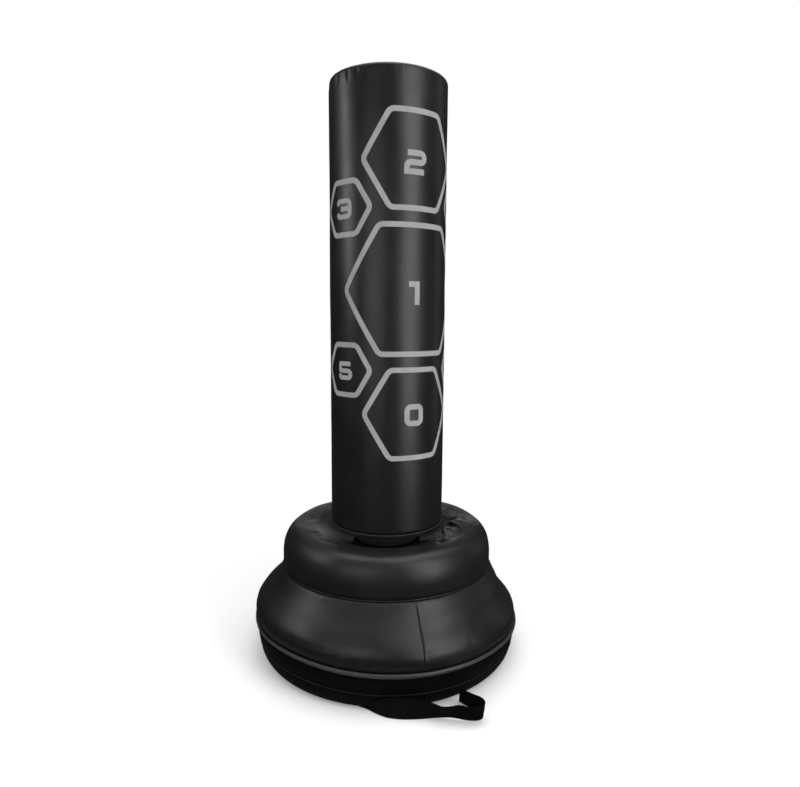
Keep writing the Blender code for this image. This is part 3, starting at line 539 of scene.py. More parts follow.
sand = speckled("dry_sand", (0.56, 0.43, 0.27), 0.95, 900.0, 0.0006, 0.35)
steel = speckled("plated_steel", (0.42, 0.42, 0.43), 0.34, 90.0, 0.00006, 0.2, Metallic=1.0)
board = speckled("plywood", (0.56, 0.39, 0.22), 0.6, 55.0, 0.0002, 0.3)
tube = speckled("grey_tube_plastic", (0.30, 0.30, 0.30), 0.42, 120.0, 0.0001, 0.12)
print("fourteen small finishes")

# %% Finish the CAD nodes that stay as they are
bolts = [f"{end}_plate_bolt_{k}" for end in ("lower", "upper") for k in range(1, 5)]
finished_nodes = [
    (tank, ["base_tank", "filler_cap"]),
    (sand, ["sand_ballast"]),
    (foam, ["upper_foam_ring", "inner_foam_sleeve", "outer_foam_sleeve", "top_foam_disc"]),
    (steel, ["lower_spring_plate", "upper_spring_plate"] + bolts),
    (rubber, ["cap_seal"]),
    (board, ["bottom_board"]),
    (tube, ["core_tube", "tube_cap"]),
    (black_metal, ["zip_slider", "zip_pull"]),
]
for finish, names in finished_nodes:
    for name in names:
        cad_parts[name].material_slots[0].material = finish
print(sum(len(names) for _, names in finished_nodes), "nodes finished")

# %% [markdown]
# ## The bag's cover
#
# The cover is a tube of coated fabric pulled tight over foam, gathered at the top where it is sewn to a round panel.
# One function gives its radius at any azimuth and height, because the printed zones have to lie on the same surface.
# A gather has a middle and a half width in degrees and a strength. A crease has a depth below the seam instead.

# %% The skin's radius as a function
EDGE = 0.013
HEM = 0.0015
GATHERS = [(42, 8, 0.9), (120, 16, 0.7), (175, 12, 0.9), (-135, 14, 0.8), (-15, 10, 0.25)]
CREASES = [
    (-96, 3.0, 0.018), (-83, 2.6, 0.020), (-68, 2.2, 0.026), (-58, 1.8, 0.016), (-50, 1.5, 0.011), (47, 2.0, 0.020),
]


def skin_swell(azimuth, height):
    """Metres off the even radius: broad dents, gathers and creases under the top seam, never into the foam below."""
    swell = ripples(azimuth, height, 3, 14, (1, 5), 4.0) * 0.0005
    swell = swell + ripples(azimuth, height, 8, 10, (2, 9), 9.0) * 0.00018
    share = sum(strength * hump(beside(azimuth, middle), math.radians(half)) for middle, half, strength in GATHERS)
    fold = np.cos(azimuth * 58 + 2.0 * np.sin(azimuth * 3)) * 0.65 + np.cos(azimuth * 97 + 1.0) * 0.35
    swell = swell + 0.0016 * share * fold * np.clip((height - BAG_TOP) / 0.040 + 1, 0, 1) ** 2
    for middle, half, reach in CREASES:
        off = beside(azimuth, middle) / math.radians(half)
        near = ease((height - (BAG_TOP - reach - 0.012)) / reach)
        swell = swell + near * (0.0018 * hump(off, 2.2) - 0.0034 * hump(off, 1.0))
    dent = 0.0020 * hump(beside(azimuth, -112), math.radians(38))
    return np.maximum(swell - dent * ease((height - (BAG_TOP - 0.030)) / 0.026), -0.0017)


def skin_radius(azimuth, height):
    """The bag's even radius plus the swell."""
    return BAG_RADIUS + skin_swell(azimuth, height)


print(f"the skin swells by {skin_swell(full_turn(360), BAG_TOP - EDGE).max() * 1000:.1f} mm under the seam")

# %% The tubular cover with its rounded top edge
upright = pairs(BAG_RADIUS, np.linspace(BAG_FOOT + 2 * HEM + GAP, BAG_TOP - EDGE, 150))
outer = np.vstack([upright, np.array([BAG_RADIUS, BAG_TOP]) - EDGE + EDGE * full_corner(15, 0.62)])
section = thick_section(outer, COVER_THICK)
turn = full_turn(360)
swell = skin_swell(turn, section[:, 1:]) * np.clip((BAG_TOP - section[:, 1:]) / EDGE, 0, 1) ** 0.5
bag_points = swept(section, 360) + around(turn, 1.0, 0.0) * swell[..., None]
bag_skin = ring_piece("bag_skin", bag_points, BAG_RADIUS, "bag", bag_leather, "leatherette", "bag_cover")
print(len(bag_skin.data.polygons), "faces on the bag's cover")

# %% [markdown]
# ### Top panel, welt and hem
#
# The round panel crowns a little over the foam and sinks towards its seam. The welt is a thin cord in the seam, and
# the hem is the folded edge above the neck, whose lighter colour paints a fine highlight line there.

# %% The crowned panel, the welt and the hem
WELT = 0.0014
WELT_RADIUS = BAG_RADIUS - EDGE - GAP - WELT
PANEL_RADIUS = WELT_RADIUS - WELT - GAP
PANEL_EDGE = BAG_TOP - 0.0011
PANEL_CROWN = 0.0012
PANEL_THICK = 0.0016
share = np.linspace(1, 0, 40)
crown = pairs(PANEL_RADIUS * share, PANEL_EDGE + PANEL_CROWN * np.sqrt(1 - share**2))
panel_line = np.vstack([pairs([0.0, PANEL_RADIUS], PANEL_EDGE - PANEL_THICK), crown])
panel_points = swept(panel_line, 180)
turn, radius = full_turn(180), panel_line[:, :1]
pucker = ripples(turn, radius, 5, 12, (2, 7), 12.0) + np.cos(turn * 44) * (radius / PANEL_RADIUS) ** 6
on_top = np.arange(len(panel_line))[:, None] > 1
panel_points[..., 2] += 0.0003 * pucker * (radius / PANEL_RADIUS) ** 2 * on_top
top_mesh = close_seams(grid_mesh("bag_top_skin", panel_points))
bag_top_skin = add_piece("bag_top_skin", top_mesh, "bag", bag_leather, "leatherette", "bag_top_panel")


def ring_cord(name, radius, height, size, body, material, slot, node, columns=240, wobble=0.0, settled=False):
    """A cord closed into a ring: a circle of the given size carried round, its height wavering a little."""
    angle = np.linspace(0, TURN, 12, endpoint=False)
    points = swept(pairs(radius + size * np.cos(angle), height + size * np.sin(angle)), columns)
    points[..., 2] += ripples(full_turn(columns), 0.0, 17, 8, (3, 30), 0.0) * wobble
    return ring_piece(name, settle(points) if settled else points, radius, body, material, slot, node)


ring_cord("top_welt", WELT_RADIUS, BAG_TOP - WELT, WELT, "bag", bag_leather, "leatherette", "top_seam_welt")
ring_cord("hem_cord", BAG_RADIUS, BAG_FOOT + HEM, HEM, "bag", hem_painted_highlight, "piping_cloth", "bottom_hem")
print("top panel, welt and hem")

# %% The cloth under the bag
FLOOR_CLOTH = 0.0025
inside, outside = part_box("upper_spring_plate")[1].x + 2 * GAP, BAG_RADIUS - 0.0018
rise = np.array([0, 0, 1, 1]) * FLOOR_CLOTH
floor_points = swept(pairs([inside, outside, outside, inside], BAG_FOOT + rise), 180)
ring_piece(
    "bag_floor_cloth", floor_points, BAG_RADIUS, "bag", pan_cloth, "skirt_cloth", "bag_bottom_panel", sharp=40
)
print("floor cloth round the spring plate")

# %% [markdown]
# ## Printed target zones
#
# The zones are hexagon outlines with a number in each, printed in silver-grey ink. A line of ink is a flat ribbon:
# its middle line is a path of straight runs and rounded corners, measured on the unrolled cloth, and it is then
# wrapped on the bag. Each ribbon is a fifth of a millimetre thick, so that it stays clear of the cloth.

# %% Paths with rounded corners, and ribbons along them
INK_THICK = 0.00022
INK_CLEAR = 0.00006
STEP = 0.004


def rounded_path(corners, radii, closed):
    """Straight runs joined by arcs. An arc's ends lie radius x tan(half the turn) from its corner."""
    corners = np.array(corners, float)
    count = len(corners)
    path = []
    for k in range(count):
        here = corners[k]
        if radii[k] <= 0 or (not closed and k in (0, count - 1)):
            path.append(here[None])
            continue
        back, ahead = unit(corners[k - 1] - here), unit(corners[(k + 1) % count] - here)
        half = math.acos(np.clip(back @ ahead, -1, 1)) / 2
        centre = here + unit(back + ahead) * radii[k] / math.sin(half)
        first, last = (here + way * radii[k] / math.tan(half) - centre for way in (back, ahead))
        start = math.atan2(first[1], first[0])
        angle = start + short_way(math.atan2(last[1], last[0]) - start) * np.linspace(0, 1, 9)
        path.append(centre + radii[k] * pairs(np.cos(angle), np.sin(angle)))
    path = np.vstack(path)
    return np.vstack([path, path[:1]]) if closed else path


def fill_in(path):
    """Extra points on the long runs, no further apart than the step, with the corners kept."""
    pieces = []
    for start, end in zip(path[:-1], path[1:]):
        count = max(1, math.ceil(np.linalg.norm(end - start) / STEP))
        pieces.append(start + (end - start) * (np.arange(count) / count)[:, None])
    return np.vstack(pieces + [path[-1:]])


def ribbon(path, width, closed, azimuth, height):
    """Points (round the section, along the path) of a flat ribbon wrapped on the bag about an azimuth and height."""
    path = fill_in(path)
    way = np.diff(path, axis=0)
    way /= np.maximum(np.linalg.norm(way, axis=1, keepdims=True), 1e-9)
    before = np.vstack([way[-1:] if closed else way[:1], way])
    after = np.vstack([way, way[:1] if closed else way[-1:]])
    side = unit(left_of(before + after))
    side /= np.maximum(0.5, np.sum(side * left_of(before), axis=1, keepdims=True))
    if closed:
        path, side = path[:-1], side[:-1]
    across = np.linspace(-0.5, 0.5, 5) * width
    offset = np.concatenate([across, across[::-1]])
    lift = np.repeat([INK_CLEAR + INK_THICK, INK_CLEAR], 5)
    flat = path[None] + side[None] * offset[:, None, None]
    turn = azimuth + flat[..., 0] / BAG_RADIUS
    up = height + flat[..., 1]
    return around(turn, skin_radius(turn, up) + lift[:, None], up)


def ribbon_faces(points, closed, start):
    """Faces of a ribbon whose rows wrap, with a cap at each end where it is open."""
    rows, columns = points.shape[:2]
    faces = grid_faces(rows, columns, True, closed)[:, ::-1] + start
    if closed:
        return faces
    index = np.arange(rows * columns).reshape(rows, columns) + start
    caps = []
    for k in range(4):
        rim = [k, k + 1, rows - 2 - k, rows - 1 - k]
        caps += [index[rim, 0], index[rim[::-1], -1]]
    return np.vstack([faces, caps])


print("ink lines", round(INK_THICK * 1000, 2), "mm thick")

# %% [markdown]
# ### The numbers
#
# The numbers are plain squared ones, drawn as strokes with rounded corners. Each stroke is a list of corners in a
# box one unit wide and high, a rounding for each corner, and it ends square. A bar that meets another stroke stops
# at its edge.

# %% Strokes of the numbers
INK_LINE = 0.0128
STROKE = 0.0135
ROUND = 0.0115
HEXAGON_ROUND = 0.018
SMALLER = 0.84
digit_strokes = {
    "0": [([(0, 0), (1, 0), (1, 1), (0, 1)], (1, 1, 1, 1), True)],
    "1": [([(0, 1), (1, 1), (1, 0)], (0, 0, 0), False)],
    "2": [([(0.04, 1), (1, 1), (1, 0.5), (0, 0.5), (0, 0), (1, 0)], (0, 1, 1, 1, 0, 0), False)],
    "3": [
        ([(0, 0.74), (0, 1), (1, 1), (1, 0), (0, 0), (0, 0.26)], (0, 0.5, 1, 1, 0.5, 0), False),
        ([(0.25, 0.5), ("inner", 0.5)], (0, 0), False),
    ],
    "4": [([(0, 1), (0, 0.42), ("inner", 0.42)], (0, 0.6, 0), False), ([(1, 1), (1, 0)], (0, 0), False)],
    "5": [([(1, 1), (0, 1), (0, 0.5), (1, 0.5), (1, 0), (0, 0), (0, 0.26)], (0, 0.15, 0.15, 1, 1, 0.5, 0), False)],
    "6": [([(1, 1), (0, 1), (0, 0), (1, 0), (1, 0.5), ("outer", 0.5)], (0, 1, 1, 1, 1, 0), False)],
}


def digit_paths(digit, width, height, stroke):
    """Each stroke's middle line, with the number's box centred on zero. No rounding is over half a bowl's height."""
    wide, high = width - stroke, height - stroke
    named = {"inner": 1 - stroke / 2 / wide, "outer": stroke / 2 / wide}
    largest = min(ROUND, high * 0.245)
    paths = []
    for corners, rounding, closed in digit_strokes[digit]:
        places = [((named.get(x, x) - 0.5) * wide, (y - 0.5) * high) for x, y in corners]
        paths.append((rounded_path(places, [r * largest for r in rounding], closed), closed))
    return paths


def hexagon_path(height, stretch):
    """A flat-topped hexagon whose outer edge has this height, stretched a little along, with every corner rounded."""
    high = height - INK_LINE
    wide = high / math.cos(math.radians(30)) * stretch
    corners = [(wide / 2, 0), (wide / 4, high / 2), (-wide / 4, high / 2)]
    corners += [(-x, -y) for x, y in corners]
    return rounded_path(corners, [HEXAGON_ROUND] * 6, True)


print(len(digit_strokes), "numbers")

# %% [markdown]
# Each zone has its number, the azimuth and height of its middle, its own height, the width and height of its
# number, and how far that number sits off the middle.

# %% Print the zones
ZONES = [
    ("zone_2", "2", 0.0, 1.258, 0.234, (0.059, 0.056), (-0.007, -0.006)),
    ("zone_1", "1", 0.0, 0.955, 0.320, (0.036, 0.063), (-0.011, -0.010)),
    ("zone_0", "0", 0.0, 0.653, 0.232, (0.052, 0.055), (-0.0055, -0.0025)),
    ("zone_3", "3", -71.8, 1.150, 0.137, (0.052, 0.048), (-0.006, -0.001)),
    ("zone_5", "5", -71.8, 0.760, 0.137, (0.048, 0.046), (-0.003, -0.0025)),
    ("zone_4", "4", 71.8, 1.165, 0.137, (0.050, 0.048), (0.0, 0.0)),
    ("zone_6", "6", 71.8, 0.759, 0.137, (0.048, 0.048), (0.0, 0.0)),
]
for name, digit, turn, height, size, digit_size, shift in ZONES:
    stroke, stretch = (STROKE, 1.032) if turn == 0.0 else (STROKE * SMALLER, 1.055)
    lines = [(hexagon_path(size, stretch) - [0.004, 0.0], True, INK_LINE)]
    lines += [(path + shift, closed, stroke) for path, closed in digit_paths(digit, *digit_size, stroke)]
    places, faces, start = [], [], 0
    for path, closed, width in lines:
        points = ribbon(path, width, closed, math.radians(turn), height)
        places.append(points.reshape(-1, 3))
        faces.append(ribbon_faces(points, closed, start))
        start += len(places[-1])
    zone = close_seams(mesh_of(name, np.vstack(places), np.vstack(faces)))
    add_piece(name, zone, "bag", ink, "leatherette", sharp=50)
print(len(ZONES), "printed zones")

# %% [markdown]
# ## The padded tiers
#
# Each tier is a tube of coated fabric blown out by foam and held at its seams. The shape comes in two steps. First a
# section is carried round the axis. Then the cloth simulation lets that grid go, pinned at its seams, a little too
# large for its frame and pushed from behind, so that it finds its own slack and soft dents. How far a point may move
# is capped, because the foam under it is firm.

# %% Let a grid of cloth go and read it back
SIM_FRAMES = 18
PUCKER = 0.0005
CLOTH = {
    "vertex_group_mass": "seams", "quality": 7, "mass": 0.25, "tension_stiffness": 40, "compression_stiffness": 40,
    "shear_stiffness": 12, "bending_stiffness": 1.2, "air_damping": 2, "use_pressure": True,
}


def inflate(points, pressure, slack, inward, outward):
    """The grid after the cloth run: each point's move along the first surface's normal is held between two caps."""
    cloth = put("inflating", grid_mesh("inflating", points))
    scene = bpy.context.scene
    rows, columns = points.shape[:2]
    index = np.arange(rows * columns).reshape(rows, columns)
    cloth.vertex_groups.new(name="seams").add(index[[0, -1]].ravel().tolist(), 1.0, "REPLACE")
    settings = cloth.modifiers.new("cloth", "CLOTH").settings
    for name, value in CLOTH.items():
        setattr(settings, name, value)
    settings.uniform_pressure_force = pressure
    settings.shrink_min = -slack
    settings.effector_weights.gravity = 0
    for step in range(1, SIM_FRAMES + 1):
        scene.frame_set(step)
    evaluated = cloth.evaluated_get(bpy.context.evaluated_depsgraph_get())
    after = np.empty(rows * columns * 3, np.float32)
    evaluated.data.vertices.foreach_get("co", after)
    bpy.data.objects.remove(cloth, do_unlink=True)
    scene.frame_set(1)
    move = after.reshape(rows, columns, 3) - points
    normals = grid_normals(points)
    off = np.sum(move * normals, axis=-1, keepdims=True)
    print(f"  the cloth moved {off.min() * 1000:.1f} to {off.max() * 1000:.1f} mm along its normals")
    return points + (move - off * normals) * 0.5 + np.clip(off, -inward, outward) * normals


def free_share(share, foot, top):
    """0 at both seams and 1 between them: ease of share x foot, times ease of (1 less share) x top."""
    return ease(share * foot) * ease((1 - share) * top)


def puckers(turn, count, waves, seed):
    """Short ridges round a seam: a cosine of so many turns, whose phase sways and whose height comes and goes."""
    strength = 0.5 + 0.5 * ripples(turn, 0.0, seed, 8, (2, 14), 0.0)
    return PUCKER * np.cos(turn * count + 3 * np.sin(turn * waves)) * strength


def seam_groove(azimuth, middle, depth, width):
    """A narrow valley along an azimuth with a low welt beside it."""
    off = beside(azimuth, middle) * RIM_RADIUS
    return 0.4 * depth * hump(off - 2.5 * width, width) - depth * hump(off, width)


print("cloth run ready:", SIM_FRAMES, "frames")

# %% [markdown]
# ### The lower tier
#
# The section climbs from the piping, bulges a little over the rim, and rounds over into the seam under the upper
# tier. At both sides the foam has given way, and the shoulder sits lower there. An upright seam closes the panel at
# the front, and another one at the back.

# %% The lower tier's section and its slump
PANEL_SEAMS = (-14.3, 165.7)
SEAM_DEPTH, SEAM_WIDTH = 0.0022, 0.0011
MARK_HEIGHT, MARK_DEPTH, MARK_WIDTH = 0.143, 0.0012, 0.0022
PROFILE = [
    (0.0, 1.0), (0.07, 1.03), (0.15, 1.045), (0.23, 1.01), (0.36, 0.86), (0.51, 0.64), (0.66, 0.42), (0.82, 0.20),
    (1.0, 0.0),
]
SLUMPS = [(75.0, 80.0, 0.0090, 0.0090), (-130.0, 50.0, 0.0060, 0.0020)]


def lower_line(count):
    """A smooth curve through the profile: share of the climb from the rim to the seam, and share of the reach."""
    foot, top = COVER_FOOT + 0.006, SEAM_HEIGHT - 0.002
    climb, reach = np.array(PROFILE).T
    shoulder = pairs(TIER_RADIUS + (RIM_RADIUS - TIER_RADIUS) * reach, foot + (top - foot) * climb)
    return even(smooth_line(np.vstack([[[RIM_RADIUS, COVER_FOOT]], shoulder]), 8), count)


def slump(points):
    """The foam has given way at the sides: down and inwards, by a depth x ease of the nearness in azimuth x height."""
    azimuth, down, inwards = azimuth_of(points), 0.0, 0.0
    for middle, half, drop, squeeze in SLUMPS:
        near = nearness(azimuth, middle, half)
        down, inwards = down + drop * near, inwards + squeeze * near
    share = (points[..., 2] - COVER_FOOT) / (SEAM_HEIGHT - COVER_FOOT)
    down = down * ease(share / 0.45) * ease((1 - share) / 0.30)
    inwards = inwards * ease(share / 0.25) * ease((1 - share) / 0.60)
    return points - around(azimuth, inwards, down)


def gathered_turn(count, middles):
    """Azimuths of a closed ring, with extra columns a millimetre or so apart at each of the middles."""
    extra = np.radians(np.array([-0.6, -0.36, -0.22, -0.12, 0.0, 0.12, 0.22, 0.36, 0.6]))
    fine = [(math.radians(middle) + extra) % TURN for middle in middles]
    return np.sort(np.concatenate([full_turn(count)[0] + 0.001] + fine))[None]


line = lower_line(34)
print(f"the section bulges {(line[:, 0].max() - RIM_RADIUS) * 1000:.1f} mm over the rim")

# %% The lower tier's cloth run, seams and crease
turn = gathered_turn(414, PANEL_SEAMS)
share = np.linspace(0, 1, len(line))[:, None]
free = free_share(share, 6, 6)
start = slump(settle(around(turn, line[:, :1], line[:, 1:])))
start = raised(start, ripples(turn, share, 21, 14, (2, 9), 0.8) * 0.0012 * free)
lower_points = inflate(start, pressure=4.0, slack=0.004, inward=0.0025, outward=0.005)
normals = grid_normals(lower_points)
offset = puckers(turn, 92, 5, 31) * hump(1 - share, 0.06)
for seam in PANEL_SEAMS:
    offset = offset + seam_groove(turn, seam, SEAM_DEPTH, SEAM_WIDTH) * free
level = slump(settle(around(turn, RIM_RADIUS, MARK_HEIGHT)))[..., 2]
strength = (0.55 + 0.45 * np.cos(turn * 7 + 1.0)) * np.abs(np.cos(turn + 0.4)) ** 0.5
offset = offset - MARK_DEPTH * hump(lower_points[..., 2] - level, MARK_WIDTH) * strength
lower_points = lower_points + normals * offset[..., None]
lower_mesh = grid_mesh("lower_tier_skin", lower_points, uv=ring_uv(lower_points, RIM_RADIUS))
lower_skin = add_piece("lower_tier_skin", lower_mesh, "base", tier_leather, "leatherette", "lower_tier_cover")
print(len(lower_mesh.polygons), "faces on the lower tier")

# %% [markdown]
# The foam under that shoulder follows it. It fills the space from the pan up to the cover, and ends inside at the
# tank and at the upper foam ring.

# %% The foam ring under the shoulder
FOAM_CLEAR = 0.0045
FOAM_OUT = np.array([0.0, 0.0137, 0.0297, 0.0367, 0.0392, 0.0442, 0.0442])
FOAM_UP = np.array([0.008, 0.008, 0.017, 0.033, 0.047, 0.078, 0.098])
under = pairs(TANK_RADIUS + GAP + FOAM_OUT, FOAM_UP)
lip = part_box("upper_foam_ring")[1].x + GAP
outside = (lower_points - normals * FOAM_CLEAR)[2:-1, ::3]
radius = np.linalg.norm(outside[..., :2], axis=-1, keepdims=True)
outside[..., :2] *= np.maximum(radius, lip) / radius
corner_radius, corner_height = TANK_RADIUS - TANK_CORNER + GAP, TANK_TOP - TANK_CORNER + GAP
angle = np.linspace(math.acos((lip - corner_radius) / TANK_CORNER), 0, 5)[:, None]
few = turn[:, ::3]
ends = around(few, corner_radius + TANK_CORNER * np.cos(angle), corner_height + TANK_CORNER * np.sin(angle))
foam_points = np.concatenate([settle(around(few, under[:, :1], under[:, 1:])), outside, ends])
foam_mesh = grid_mesh("lower_foam", foam_points, wrap_rows=True)
add_piece("lower_foam", foam_mesh, "base", foam, "foam", "lower_foam_ring", sharp=50)
print(len(foam_mesh.polygons), "faces on the foam ring")

# %% [markdown]
# ### The upper tier
#
# A short wall, a round shoulder up to the crest, and a dish that falls in under the bag to an elastic round the
# neck. On the right the slack of the cover is bunched: a dozen ridges and grooves run out from the bag's edge. Each
# fold has two ends, as azimuth and radius, and its height and width.

# %% The upper tier's section and its folds
WALL_RISE = 0.026
BUNCH_MIDDLE = plan(56, 0.196)
BUNCH_HEIGHT, BUNCH_WIDTH = 0.0075, 0.052
HEM_LANDING = 0.1585
DISH_START = 0.290
FOLDS = [
    ((104, 0.178), (92, 0.212), 0.0045, 0.006), ((82, 0.172), (71, 0.238), 0.0036, 0.007),
    ((74, 0.172), (61, 0.232), -0.0040, 0.005), ((65, 0.172), (50, 0.238), 0.0036, 0.006),
    ((76, 0.160), (40, 0.205), -0.0085, 0.008), ((58, 0.182), (33, 0.238), 0.0045, 0.005),
    ((56, 0.160), (14, 0.225), 0.0035, 0.006), ((66, 0.150), (8, 0.222), -0.0045, 0.006),
    ((48, 0.172), (19, 0.228), -0.0045, 0.006), ((66, 0.208), (54, 0.236), -0.0024, 0.003),
    ((54, 0.209), (46, 0.234), 0.0020, 0.003), ((38, 0.205), (27, 0.232), -0.0020, 0.004),
]


def upper_line(count):
    """A wall, a shoulder a little fuller than a quarter ellipse, and an eased fall from the crest to the neck."""
    foot = SEAM_HEIGHT + 0.002
    widest = foot + WALL_RISE
    wall = pairs(TIER_RADIUS, np.linspace(foot, widest, 8))
    reach = np.array([TIER_RADIUS - CREST_RADIUS, CREST_HEIGHT - widest])
    shoulder = np.array([CREST_RADIUS, widest]) + reach * full_corner(40, 0.87)
    share = np.linspace(1, 0, 40)[1:]
    dish = pairs(NECK_RADIUS + (CREST_RADIUS - NECK_RADIUS) * share, NECK_HEIGHT + DISH_DEPTH * ease(share))
    return even(np.vstack([wall, shoulder, dish]), count)


def folds(points):
    """A bunch of cloth with ridges and grooves: each is height x e to the minus (distance / width) squared in plan.

    It stays low inside the radius where the leaning bag's hem comes down.
    """
    flat = points[..., :2]
    radius = np.linalg.norm(flat, axis=-1)
    total = BUNCH_HEIGHT * hump(np.linalg.norm(flat - BUNCH_MIDDLE, axis=-1), BUNCH_WIDTH)
    for start, end, height, width in FOLDS:
        first, run = plan(*start), plan(*end) - plan(*start)
        along = np.clip(((flat - first) @ run) / (run @ run), 0, 1)
        away = np.linalg.norm(flat - first - along[..., None] * run, axis=-1)
        total = total + height * hump(away, width) * ease(1.15 - along)
    least = 0.0025 * ease((0.185 - radius) / 0.020) - 0.0010
    room = 0.0050 + 0.8 * np.maximum(radius - HEM_LANDING, 0.0)
    return np.clip(total, least, room) * ease((points[..., 2] - DISH_START) / 0.015)


line = upper_line(44)
print(f"the dish falls {DISH_DEPTH * 1000:.0f} mm, and {len(FOLDS)} folds run out on the right")

# %% The upper tier's cloth run, and both shells
columns = 432
turn = full_turn(columns)
share = np.linspace(0, 1, len(line))[:, None]
start = swept(line, columns)
start = raised(start, ripples(turn, share, 44, 14, (2, 8), 0.8) * 0.0010 * free_share(share, 7, 5))
upper_points = inflate(start, pressure=3.0, slack=0.006, inward=0.0015, outward=0.0025)
upper_points = smooth_line(upper_points.reshape(len(line), -1), 2).reshape(-1, columns, 3)
share = np.linspace(0, 1, len(upper_points))[:, None]
offset = puckers(turn, 84, 4, 33) * hump(share, 0.04)
offset = offset + seam_groove(turn, 171.5, 0.001, 0.0016) * free_share(share, 7, 5)
upper_points = raised(upper_points, offset + folds(upper_points))
upper_mesh = grid_mesh("upper_tier_skin", upper_points, uv=ring_uv(upper_points, TIER_RADIUS))
upper_skin = add_piece("upper_tier_skin", upper_mesh, "base", tier_leather, "leatherette", "upper_tier_cover")
for skin in (lower_skin, upper_skin):
    shell = skin.modifiers.new("thickness", "SOLIDIFY")
    shell.thickness = COVER_THICK * 0.9
    shell.offset = -1.0
print(len(upper_mesh.polygons), "faces on the upper tier, and both tiers are closed shells")

# %% [markdown]
# ### Seams, piping and elastic
#
# The cord in the seam between the tiers is covered in the same fabric. The piping round the rim is thicker, with its
# skin stretched over the cord, and its lighter colour paints the highlight it catches. The elastic draws the dish in
# round the neck.

# %% Seam cord, rim piping and elastic
SEAM_CORD = 0.0017
ELASTIC = 0.003
ring_cord(
    "tier_seam_cord", TIER_RADIUS, SEAM_HEIGHT, SEAM_CORD, "base", tier_leather, "leatherette", "tier_seam_welt", 360
)
piping_middle = RIM_RADIUS - COVER_THICK + PIPING_RADIUS
ring_cord(
    "rim_cord", piping_middle, PIPING_HEIGHT, PIPING_RADIUS, "base", piping_cloth, "piping_cloth", "rim_piping",
    432, 0.0002, True,
)
ring_cord(
    "neck_cord", NECK_RADIUS - ELASTIC - GAP, NECK_HEIGHT, ELASTIC, "base", pan_cloth, "skirt_cloth", "neck_elastic",
    180,
)
print("three cords of the base")

# %% [markdown]
# ## The pan and its zip
#
# The pan is a shallow bag of woven cloth that holds the tank. Its wall bulges a little over the floor panel, and a
# thin binding covers the seam between them.

# %% Pan wall, binding and floor panel
WALL_FOOT, WALL_TOP = 0.0491, 0.0780
HEM_HEIGHTS = [0.0805, 0.0815, 0.0878, 0.0885]
FLOOR_THICK = 0.003
BINDING = 0.0018
share = np.linspace(0, 1, 16)
bulge = pairs(PAN_SEAM_RADIUS + PAN_BULGE * np.sin(share * np.pi / 2), WALL_FOOT + (WALL_TOP - WALL_FOOT) * share)
hem = pairs(RIM_RADIUS + GAP * np.array([0, 1, 1, 0]), HEM_HEIGHTS)
points = swept(thick_section(even(np.vstack([bulge, hem]), 30), COVER_THICK), 360)
turn, height = full_turn(360), points[:, :1, 2]
slack = ripples(turn, height, 52, 16, (4, 24), 6.0) * ease((0.082 - height) / 0.015) * ease((height - 0.049) / 0.008)
points = settle(points + around(turn, 0.0006, 0.0) * slack[..., None])
ring_piece("pan_wall", points, RIM_RADIUS, "base", pan_cloth, "skirt_cloth", "pan_skirt")
ring_cord(
    "pan_binding", PAN_SEAM_RADIUS, PAN_SEAM_HEIGHT, BINDING, "base", dark_binding, "piping_cloth", "bottom_binding",
    360, 0.0, True,
)
angle = np.linspace(0, np.pi / 2, 14)
roll_top = PAN_SEAM_HEIGHT - BINDING - GAP
roll = pairs(FLOOR_RADIUS + FLOOR_ROLL * np.sin(angle), roll_top * (1 - np.cos(angle)))
section = thick_section(np.vstack([pairs(np.linspace(0, FLOOR_RADIUS, 12)[:-1], 0.0), roll]), FLOOR_THICK)
section[-1, 0] = 0.0
points = settle(swept(section, 360))
panel_mesh = close_seams(grid_mesh("pan_floor", points, uv=points[..., :2]))
add_piece("pan_floor", panel_mesh, "base", pan_cloth, "skirt_cloth", "bottom_panel")
print("pan wall, binding and floor")

# %% [markdown]
# ### The zip
#
# Two woven tapes lie behind the edges of the pan and the cover. Between them runs a nylon coil: rows of small loops
# that hook into each other from above and below. One loop is a stretched ball of a few faces, copied round the rim
# as arrays, because there are well over a thousand of them.

# %% Tapes and teeth
TAPE_OUTER = RIM_RADIUS - COVER_THICK - GAP
TAPE_INNER = TAPE_OUTER - 0.0012
TAPES = [
    ("zip_tape_low", "zip_tape_lower", 0.078, 0.0900),
    ("zip_tape_high", "zip_tape_upper", 0.0966, 0.1119),
]
for name, node, foot, top in TAPES:
    section = pairs([TAPE_OUTER, TAPE_OUTER, TAPE_INNER, TAPE_INNER], [foot, top, top, foot])
    ring_piece(name, settle(swept(section, 360)), RIM_RADIUS, "base", tape_cloth, "zip_tape", node, sharp=40)
TOOTH_PITCH = 0.0015
TOOTH_SIZE = (0.00055, 0.0011, 0.0021)
TOOTH_SHIFT = 0.0009
TAB_HALF = math.radians(4.2)
count = int((TURN - 2 * TAB_HALF) * RIM_RADIUS / TOOTH_PITCH)
turn = np.pi + TAB_HALF + (np.arange(count) + 0.5) / count * (TURN - 2 * TAB_HALF)
centre = around(turn, RIM_RADIUS - 0.0012, CHAIN_HEIGHT + np.where(np.arange(count) % 2, TOOTH_SHIFT, -TOOTH_SHIFT))
upright = np.broadcast_to([0.0, 0.0, 1.0], centre.shape)
ways = np.stack([around(turn + np.pi / 2, 1.0, 0.0), around(turn, 1.0, 0.0), upright], axis=1)
polar = np.linspace(0, np.pi, 6)[:, None]
ball = around(full_turn(6) + np.pi / 2, np.sin(polar), np.cos(polar)).reshape(-1, 3)
faces = grid_faces(6, 6, False, True)[None, :, ::-1] + (np.arange(count) * len(ball))[:, None, None]
points = settle(centre[:, None] + (ball * TOOTH_SIZE) @ ways)
coil = close_seams(mesh_of("zip_coil", points.reshape(-1, 3), faces.reshape(-1, 4)))
